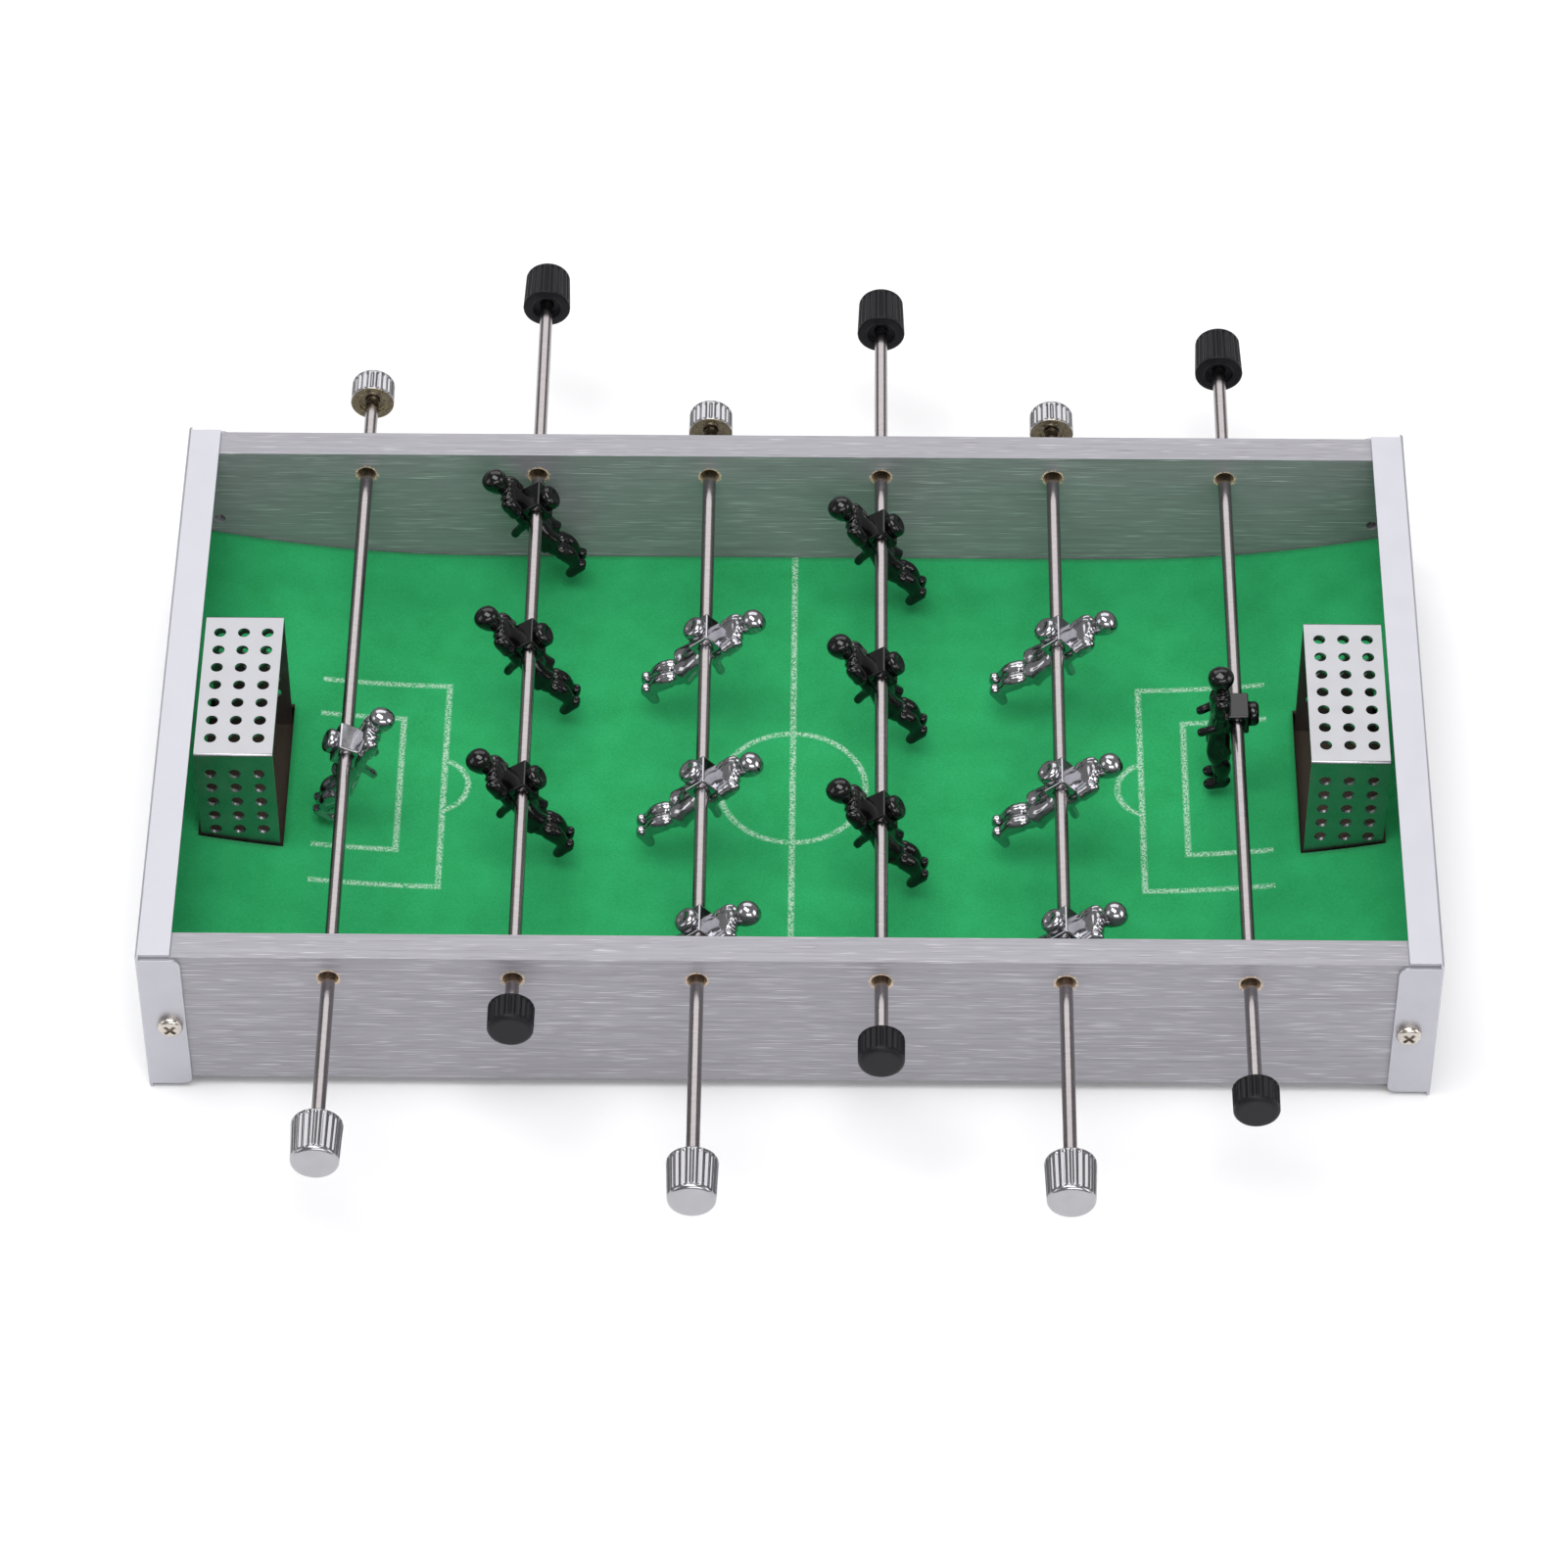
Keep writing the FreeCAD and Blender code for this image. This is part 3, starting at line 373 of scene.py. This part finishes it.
def newPiece(name, points, faces, finishNames, smooth=True, distance=1e-6):
    # points in metres; closes seams and poles, then links the object at the origin
    mesh = bpy.data.meshes.new(name)
    mesh.from_pydata(points.tolist(), [], faces.tolist())
    cleaned(mesh, distance)
    mesh.polygons.foreach_set("use_smooth", np.full(len(mesh.polygons), smooth))
    for finishName in finishNames:
        mesh.materials.append(materials[finishName])
    piece = bpy.data.objects.new(name, mesh)
    bpy.context.scene.collection.objects.link(piece)
    return piece


def applied(piece):
    # bakes the piece's modifiers into its mesh
    bpy.context.view_layer.update()
    evaluated = piece.evaluated_get(bpy.context.evaluated_depsgraph_get())
    mesh = bpy.data.meshes.new_from_object(evaluated)
    piece.modifiers.clear()
    piece.data = mesh
    return piece


def modifier(piece, kind, **settings):
    added = piece.modifiers.new(kind.lower(), kind)
    for name, value in settings.items():
        setattr(added, name, value)
    return added


# parts that keep their shape get a new finish and softened edges

keptParts = {
    # node: finish, edge softening in mm (0 for none)
    "front_wall": ("BrushedSilverLaminate", 0.22), "back_wall": ("BrushedSilverLaminate", 0.22),
    "left_end_cap": ("SatinAnodisedSheet", 0.16), "right_end_cap": ("SatinAnodisedSheet", 0.16),
    "left_goal": ("BrightPunchedSheet", 0.12), "right_goal": ("BrightPunchedSheet", 0.12),
    # the base board takes the fibreboard finish darkened with painted shade
    "cap_screws": ("NickelPlatedSteel", 0.0), "base_board": ("SawnFibreboardPaintedShade", 0.3),
}
keptParts.update({"rod_%d" % n: ("PolishedDrawnSteel", 0.0) for n in range(1, 7)})
for node, (finishName, soften) in keptParts.items():
    part = nodes[node]
    for slot in part.material_slots:
        slot.material = materials[finishName]
    if soften:
        # flat faces are merged before the bevel, so that it meets no slivers
        modifier(part, "WELD", merge_threshold=1e-6)
        modifier(part, "DECIMATE", decimate_type="DISSOLVE", angle_limit=math.radians(0.5))
        modifier(part, "BEVEL", width=soften * mm, segments=2, limit_method="ANGLE",
                 angle_limit=math.radians(40), use_clamp_overlap=True)
print("kept parts finished:", len(keptParts))


# playing surface: flat in the middle, curled up at both ends

pitchShape = {"flatHalf": 72.0, "rampRadius": 270.0, "thick": 2.0, "top": 9.8, "sideGap": 0.12,
              "slotNear": 114.3, "slotFar": 133.2, "slotHalf": 21.75, "step": 1.6}


def makePitch():
    # height = top, plus radius - sqrt(radius^2 - (|x| - flatHalf)^2) past flatHalf, on a grid that
    # leaves out two slots
    shape = pitchShape
    low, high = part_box("pitch")
    halfX = high.x / mm
    halfY = high.y / mm - shape["sideGap"]
    marks = [0.0, shape["flatHalf"], shape["slotNear"], shape["slotFar"], halfX]
    spans = [np.linspace(a, b, max(int((b - a) / shape["step"]), 2), endpoint=False)
             for a, b in zip(marks, marks[1:])]
    right = np.concatenate(spans + [[halfX]])
    x = np.concatenate([-right[:0:-1], right])
    y = np.concatenate([np.linspace(-halfY, -shape["slotHalf"], 32, endpoint=False),
                        np.linspace(-shape["slotHalf"], shape["slotHalf"], 29),
                        np.linspace(shape["slotHalf"], halfY, 33)[1:]])
    gx, gy = np.meshgrid(x, y, indexing="ij")
    past = np.maximum(np.abs(gx) - shape["flatHalf"], 0)
    gz = shape["top"] + shape["rampRadius"] - np.sqrt(shape["rampRadius"] ** 2 - past ** 2)
    points = np.stack([gx, gy, gz], -1).reshape(-1, 3)
    i, j = np.arange(len(x) - 1)[:, None], np.arange(len(y) - 1)[None, :]
    quads = np.stack([i * len(y) + j, (i + 1) * len(y) + j, (i + 1) * len(y) + j + 1, i * len(y) + j + 1], -1)
    midX = np.abs(x[:-1] + x[1:])[:, None] / 2
    midY = np.abs(y[:-1] + y[1:])[None, :] / 2
    solid = ~((midX > shape["slotNear"]) & (midX < shape["slotFar"]) & (midY < shape["slotHalf"]))
    piece = newPiece("playing_surface", points * mm, quads[solid], ["FlockedTurf", "SawnFibreboardPaintedShade"])
    if piece.data.polygons[0].normal.z < 0:
        piece.data.flip_normals()
    # the solidified underside and slot rims take the second finish, fibreboard darkened with painted shade
    modifier(piece, "SOLIDIFY", thickness=shape["thick"] * mm, offset=-1.0, use_even_offset=True,
             material_offset=1, material_offset_rim=1)
    applied(piece)
    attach(piece, "table")
    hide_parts("pitch")
    return piece


makePitch()
print("playing surface made")


# grips: a handle and an end knob on every rod

gripShape = {"ridges": 22, "pointsPerRidge": 10, "fluteDeep": 0.42, "plainEnd": 0.9, "plainStart": 0.25,
             "handleTaper": 0.35, "knobTaper": 0.05, "hollowRadius": 3.3, "hollowDeep": 1.2,
             "boreRadius": 1.56, "boreEnd": 2.6, "round": 1.1, "intoFlutes": 0.35, "outOfFlutes": 0.5}


def alongProfile(corners, spacing):
    # straight runs between the corners, divided about every spacing mm
    out = []
    for (r0, t0), (r1, t1) in zip(corners, corners[1:]):
        count = max(int(math.hypot(r1 - r0, t1 - t0) / spacing), 1)
        out.append(np.linspace((r0, t0), (r1, t1), count, endpoint=False))
    return np.concatenate(out + [[corners[-1]]])


def makeGrip(name, node, body, finishName, hollowFinish, taper):
    # profile (radius, distance from the inner face) turned about the rod; on its outer side the radius
    # loses fluteDeep * (1 - |cos(ridges * angle / 2)|) between the plain ends
    shape = gripShape
    low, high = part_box(node)
    outwards = 1 if low.y + high.y > 0 else -1
    inner = (low.y if outwards > 0 else high.y) / mm
    length = (high.y - low.y) / mm
    radius = (high.x - low.x) / mm / 2
    end, tipRadius = shape["round"], radius - taper
    turns = np.linspace(0, math.pi / 2, 7)
    corner = [(tipRadius - end + end * math.cos(a), length - end + end * math.sin(a)) for a in turns]
    outside = [(radius - 0.3, 0.0), (radius - 0.09, 0.09), (radius, 0.3)] + corner
    boreEnd, bore = length - shape["boreEnd"], shape["boreRadius"]
    deep, hollow = shape["hollowDeep"], shape["hollowRadius"]
    inside = [(0.0, boreEnd), (bore, boreEnd), (bore, deep), (hollow, deep),
              (hollow, 0.12), (hollow + 0.12, 0.0)]
    profile = alongProfile(inside + outside + [(0.0, length)], 0.4)
    around = shape["ridges"] * shape["pointsPerRidge"]
    angle = np.linspace(0, 2 * math.pi, around, endpoint=False)[None, :]
    r, t = profile[:, :1], profile[:, 1:]
    window = np.clip((t - shape["plainStart"]) / shape["intoFlutes"], 0, 1)
    window = window * np.clip((length - shape["plainEnd"] - t) / shape["outOfFlutes"], 0, 1)
    window = window * (r > radius - taper - 0.4)
    groove = (1 - np.abs(np.cos(shape["ridges"] * angle / 2))) ** 0.8
    rr = r - shape["fluteDeep"] * window * groove
    middleX, middleZ = (low.x + high.x) / 2 / mm, (low.z + high.z) / 2 / mm
    points = np.stack([middleX + rr * np.cos(angle), np.broadcast_to(inner + outwards * t, rr.shape),
                       middleZ + rr * np.sin(angle)], -1).reshape(-1, 3)
    piece = newPiece(name, points * mm, gridFaces(len(profile), around), [finishName, hollowFinish])
    # the hollow's faces, nearer the rod than its rim and near the inner face, take the second finish
    centres = np.zeros(len(piece.data.polygons) * 3, np.float32)
    piece.data.polygons.foreach_get("center", centres)
    centres = centres.reshape(-1, 3) / mm
    fromAxis = np.hypot(centres[:, 0] - middleX, centres[:, 2] - middleZ)
    depth = (centres[:, 1] - inner) * outwards
    inHollow = (depth < shape["hollowDeep"] + 0.1) & (fromAxis < shape["hollowRadius"] + 0.3) | \
        (depth < 0.05) & (fromAxis < radius)
    piece.data.polygons.foreach_set("material_index", inHollow.astype(np.int32))
    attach(piece, body)
    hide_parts(node)
    return piece


silverRods = (1, 3, 5)
for n in range(1, 7):
    silver = n in silverRods
    finishName = "SatinChromeGrip" if silver else "MattBlackMouldedAbs"
    hollowFinish = "WornBrassPlating" if silver else "MattBlackMouldedAbs"
    makeGrip("grip_%d" % n, "handle_%d" % n, "crew_%d" % n, finishName, hollowFinish,
             gripShape["handleTaper"])
    makeGrip("knob_%d" % n, "end_knob_%d" % n, "crew_%d" % n, finishName, hollowFinish,
             gripShape["knobTaper"])
print("grips made")


# men: one figure in mm, facing +X, with the rod's axis at the origin

figureShape = {
    "voxel": 0.21, "smoothing": 9, "blockHalf": (2.8, 3.75), "blockMiddle": 0.1,
    "bevel": 0.35, "support": 0.12, "bore": 1.53, "sole": -22.3,
    "bossRadius": 2.8, "bossFrom": -2.5, "bossTo": -5.0, "lift": -0.2,
}
# rows of x, y, z, half across, half deep; limbs are drawn on one side and mirrored
bodyRows = {
    "head": [(3.95, 0, 7.9, 0.4, 0.4), (3.95, 0, 8.3, 1.4, 1.5), (3.9, 0, 9.1, 2.0, 2.1),
             (3.75, 0, 10.1, 2.45, 2.6), (3.6, 0, 11.4, 2.75, 2.95), (3.5, 0, 12.7, 2.5, 2.7),
             (3.45, 0, 13.55, 1.7, 1.85),
             (3.45, 0, 14.1, 0.5, 0.5)],
    "neck": [(3.3, 0, 6.4, 1.9, 1.8), (3.4, 0, 7.6, 1.6, 1.55), (3.6, 0, 9.6, 1.5, 1.5)],
    "torso": [(3.3, 0, 7.6, 0.9, 0.7), (3.3, 0, 7.3, 2.7, 1.4), (3.3, 0, 6.5, 4.1, 1.9),
              (3.45, 0, 5.2, 4.25, 2.25), (3.6, 0, 3.2, 3.65, 2.45), (3.6, 0, 1.0, 3.2, 2.35),
              (3.55, 0, -1.2, 3.3, 2.4),
              (3.5, 0, -3.0, 3.6, 2.6), (3.5, 0, -4.0, 3.8, 2.7), (3.5, 0, -4.35, 3.3, 2.35),
              (3.5, 0, -4.5, 1.5, 1.2)],
    "hips": [(3.5, 0, -3.0, 2.8, 2.1), (3.6, 0, -5.5, 3.1, 2.4), (3.7, 0, -7.6, 2.6, 2.3),
             (3.8, 0, -8.8, 1.2, 1.2)],
}
limbRows = {
    "collar": [(1.8, 0.3, 7.6, 0.35, 0.4), (2.2, 1.5, 7.65, 0.5, 0.52), (3.5, 2.15, 7.5, 0.52, 0.52),
               (4.9, 1.4, 6.7, 0.5, 0.5), (5.75, 0.25, 5.1, 0.46, 0.46), (5.8, 0.0, 4.8, 0.25, 0.25)],
    "sleeve": [(3.3, 2.9, 7.3, 0.6, 0.7), (3.35, 3.3, 6.8, 1.45, 1.6), (3.4, 3.6, 5.6, 1.52, 1.85),
               (3.45, 3.7, 4.2, 1.42, 1.75), (3.5, 3.75, 3.1, 1.5, 1.8), (3.5, 3.75, 2.75, 1.35, 1.6),
               (3.5, 3.75, 2.6, 0.7, 0.8)],
    "arm": [(3.45, 3.7, 4.0, 1.1, 1.2), (3.5, 3.8, 2.2, 1.15, 1.25), (3.55, 3.85, 0.8, 1.15, 1.3),
            (3.9, 3.85, -0.5, 1.15, 1.3), (5.0, 3.75, -1.2, 1.08, 1.15), (6.3, 3.55, -1.75, 0.98, 1.02),
            (7.2, 3.4, -2.15, 1.0, 1.05), (8.1, 3.35, -2.6, 0.98, 1.0), (8.6, 3.3, -2.85, 0.75, 0.75),
            (8.75, 3.3, -2.9, 0.3, 0.3)],
    "leg": [(3.9, 1.85, -9.3, 1.8, 1.8), (4.25, 1.8, -11.0, 1.72, 1.85), (4.45, 1.8, -12.1, 1.75, 1.95),
            (4.15, 1.8, -13.2, 1.6, 1.75), (3.9, 1.8, -13.8, 1.55, 1.7), (3.75, 1.8, -14.0, 1.85, 2.05),
            (3.5, 1.8, -14.7, 1.85, 2.1), (3.15, 1.78, -15.9, 1.85, 2.2), (3.1, 1.75, -17.4, 1.7, 2.0),
            (3.2, 1.75, -19.0, 1.42, 1.6), (3.25, 1.75, -20.4, 1.42, 1.55), (3.25, 1.75, -21.2, 1.2, 1.3)],
    "shoe": [(1.35, 1.8, -21.2, 0.45, 0.55), (1.75, 1.8, -20.95, 1.15, 1.3), (2.8, 1.8, -20.75, 1.45, 1.65),
             (4.1, 1.85, -20.85, 1.45, 1.6), (5.2, 1.9, -21.2, 1.5, 1.3), (6.2, 1.95, -21.4, 1.38, 1.1),
             (6.9, 1.95, -21.5, 0.9, 0.8), (7.15, 1.95, -21.6, 0.3, 0.3)],
}
shortsRows = [(3.5, 1.2, -3.5, 1.5, 1.6), (3.55, 1.6, -4.5, 2.25, 2.3), (3.7, 1.85, -6.4, 2.4, 2.55),
              (3.85, 2.0, -8.6, 2.45, 2.7), (3.95, 2.1, -10.3, 2.6, 2.9), (3.97, 2.1, -10.8, 2.45, 2.7),
              (4.0, 2.1, -10.95, 1.6, 1.7)]


def folds(along, around):
    # slanted creases that deepen towards the hem: a small sine of angle plus height
    return 1 + 0.075 * np.sin(3 * around + 9 * along) * np.clip(along * 1.3, 0, 1)


def makeFigureBody():
    # lofted parts, fused by a voxel remesh and smoothed so that they read as one casting
    shapes = [loft(rows, 44, 36, 2.3 if name == "torso" else 2.0) for name, rows in bodyRows.items()]
    for side in (-1, 1):
        turned = np.array((1, side, 1, 1, 1), float)
        shapes += [loft(np.array(rows, float) * turned, 40, 24) for rows in limbRows.values()]
        shapes.append(loft(np.array(shortsRows, float) * turned, 44, 36, 2.2, folds))
    points, faces = joined(shapes)
    points[:, 2] = np.maximum(points[:, 2], figureShape["sole"])
    body = newPiece("figureBody", points, faces, [], distance=1e-3)
    modifier(body, "REMESH", mode="VOXEL", voxel_size=figureShape["voxel"])
    modifier(body, "SMOOTH", factor=0.5, iterations=figureShape["smoothing"])
    applied(body)
    co = np.zeros(len(body.data.vertices) * 3, np.float32)
    body.data.vertices.foreach_get("co", co)
    quads = np.zeros(len(body.data.loops), np.int32)
    body.data.loops.foreach_get("vertex_index", quads)
    bpy.data.objects.remove(body)
    return co.reshape(-1, 3).astype(float), quads.reshape(-1, 4)


def makeBlock():
    # tube along Y closed through the bore; its section is four quarter arcs joined by straight sides, and a
    # support point or ring lies just inside every flat so that the flats shade as flats
    shape = figureShape
    half, wide = shape["blockHalf"]
    edge, near = shape["bevel"], shape["support"]
    u = np.radians(np.array([0, 0, 22.5, 45, 67.5, 90, 90]))
    quarter = np.stack([edge * np.cos(u), edge * np.sin(u)]) + half - edge
    quarter[1, 0] -= near
    quarter[0, -1] -= near
    quarterTurn = np.array([[0.0, -1.0], [1.0, 0.0]])
    section = np.concatenate([np.linalg.matrix_power(quarterTurn, n) @ quarter for n in range(4)], 1)
    around = np.arctan2(section[1], section[0])
    bore = np.stack([np.cos(around), np.sin(around)]) * shape["bore"]
    rings = []
    # distance in from the end, and inset of the section there; no inset means the bore
    ends = [(0.0, None), (0.0, edge + near), (0.0, edge), (0.3 * edge, 0.3 * edge), (edge, 0.0),
            (edge + near, 0.0)]
    for y, inset in [(-wide + t, i) for t, i in ends] + [(wide - t, i) for t, i in ends[::-1]]:
        ringX, ringZ = bore if inset is None else section * (1 - inset / half)
        middle = 0.0 if inset is None else shape["blockMiddle"]
        rings.append(np.stack([ringX + middle, np.full(section.shape[1], y), ringZ], -1))
    return np.stack(rings).reshape(-1, 3), gridFaces(len(rings), section.shape[1], True)


def makeBoss():
    # short round boss behind the block: a profile of (radius, x) turned about X, its end slightly dimpled
    shape = figureShape
    r, near, far = shape["bossRadius"], shape["bossFrom"], shape["bossTo"]
    profile = np.array([(0.0, near), (r, near), (r, far + 0.95), (r - 0.1, far + 0.6), (r - 0.32, far + 0.28),
                        (r - 0.65, far + 0.07), (r - 1.0, far), (1.5, far), (1.15, far + 0.18),
                        (0.6, far + 0.36), (0.0, far + 0.42)])
    u = np.linspace(0, 2 * math.pi, 48, endpoint=False)[None, :]
    points = np.stack([np.broadcast_to(profile[:, 1:], (len(profile), 48)), profile[:, :1] * np.cos(u),
                       shape["lift"] + profile[:, :1] * np.sin(u)], -1)
    return points.reshape(-1, 3), gridFaces(len(profile), 48)


figurePoints, figureFaces = joined([makeFigureBody(), makeBlock(), makeBoss()])
print("figure made:", len(figureFaces), "faces")

# how far each rod's men lean from upright, in degrees
lean = {1: 27.0, 2: -35.0, 3: 48.0, 4: -34.0, 5: 48.0, 6: -2.0}
for n in range(1, 7):
    silver = n in silverRods
    facing = Matrix.Rotation(0 if silver else math.pi, 3, "Z")
    turn = np.array(Matrix.Rotation(math.radians(lean[n]), 3, "Y") @ facing)
    barLow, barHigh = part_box("rod_%d" % n)
    for node in sorted(name for name in nodes if name == "man_%d" % n or name.startswith("man_%d_" % n)):
        manLow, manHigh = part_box(node)
        place = np.array([(barLow.x + barHigh.x) / 2, (manLow.y + manHigh.y) / 2, (barLow.z + barHigh.z) / 2])
        man = newPiece(node.replace("man", "figure"), figurePoints @ turn.T * mm + place, figureFaces,
                       ["ChromePlatedCasting" if silver else "BlackEnamelledCasting"], distance=1e-7)
        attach(man, "crew_%d" % n)
        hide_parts(node)
print("men placed")


# floor, lights and camera

floorLook = {"reach": 6.0, "level": -0.0002, "colour": "#f7f7f8"}


def makeFloor():
    # wide plane in a pale matt finish, a hair below the caps
    reach, level = floorLook["reach"], floorLook["level"]
    corners = [(-reach, -reach, level), (reach, -reach, level), (reach, reach, level), (-reach, reach, level)]
    mesh = bpy.data.meshes.new("floor")
    mesh.from_pydata(corners, [], [(0, 1, 2, 3)])
    floor = bpy.data.objects.new("floor", mesh)
    bpy.context.scene.collection.objects.link(floor)
    paper = newMaterial("PaleSeamlessPaper", {"Base Color": linear(floorLook["colour"]), "Roughness": 0.9,
                                              "Specular IOR Level": 0.1})[0]
    mesh.materials.append(paper)


lights = {
    # name: place, aimed at, size x and y in metres, watts
    "backPanel": ((0.0, 1.5, 1.6), (0, 0, 0), (2.6, 1.4), 19.5),
    "keySoftbox": ((-0.2, -0.3, 1.6), (0, 0, 0), (1.5, 0.8), 19.0),
    "leftSoftbox": ((-1.5, -0.3, 0.6), (0, 0, 0), (0.7, 0.7), 2.5),
    "rightSoftbox": ((1.5, -0.3, 0.6), (0, 0, 0), (0.7, 0.7), 4.0),
    "frontSoftbox": ((0.4, -1.5, 0.95), (0, 0, 0), (1.6, 0.6), 9.5),
}
worldGrey = 0.3


def makeLights():
    for name, (place, target, size, watts) in lights.items():
        data = bpy.data.lights.new(name, "AREA")
        data.shape = "RECTANGLE"
        data.size, data.size_y = size
        data.energy = watts
        lamp = bpy.data.objects.new(name, data)
        bpy.context.scene.collection.objects.link(lamp)
        lamp.location = place
        aim = [t - p for t, p in zip(target, place)]
        lamp.rotation_euler = Vector(aim).to_track_quat("-Z", "Y").to_euler()
    world = bpy.data.worlds.new("softRoom")
    world.use_nodes = True
    world.node_tree.nodes["Background"].inputs[0].default_value = (worldGrey, worldGrey, worldGrey, 1)
    bpy.context.scene.world = world
    bpy.context.scene.view_settings.view_transform = "Standard"


cameraSetup = {"place": (0.008732, -0.953521, 1.071462), "elevation": 48.036, "azimuth": -0.641,
               "roll": -0.096, "lens": 144.09}


def makeCamera():
    # forward = (sin a cos e, cos a cos e, -sin e); right and up are turned about it by the roll
    setup = cameraSetup
    a, e, r = (math.radians(setup[key]) for key in ("azimuth", "elevation", "roll"))
    forward = np.array((math.sin(a) * math.cos(e), math.cos(a) * math.cos(e), -math.sin(e)))
    right = np.array((math.cos(a), -math.sin(a), 0.0))
    up = np.cross(right, forward)
    turnedRight = math.cos(r) * right + math.sin(r) * up
    turnedUp = -math.sin(r) * right + math.cos(r) * up
    data = bpy.data.cameras.new("camera")
    data.lens = setup["lens"]
    data.sensor_width = 36.0
    data.clip_start, data.clip_end = 0.05, 50.0
    camera = bpy.data.objects.new("camera", data)
    bpy.context.scene.collection.objects.link(camera)
    axes = np.stack([turnedRight, turnedUp, -forward], 1)
    camera.matrix_world = Matrix.Translation(setup["place"]) @ Matrix(axes.tolist()).to_4x4()
    bpy.context.scene.camera = camera


makeFloor()
makeLights()
makeCamera()
print("floor, lights and camera made")
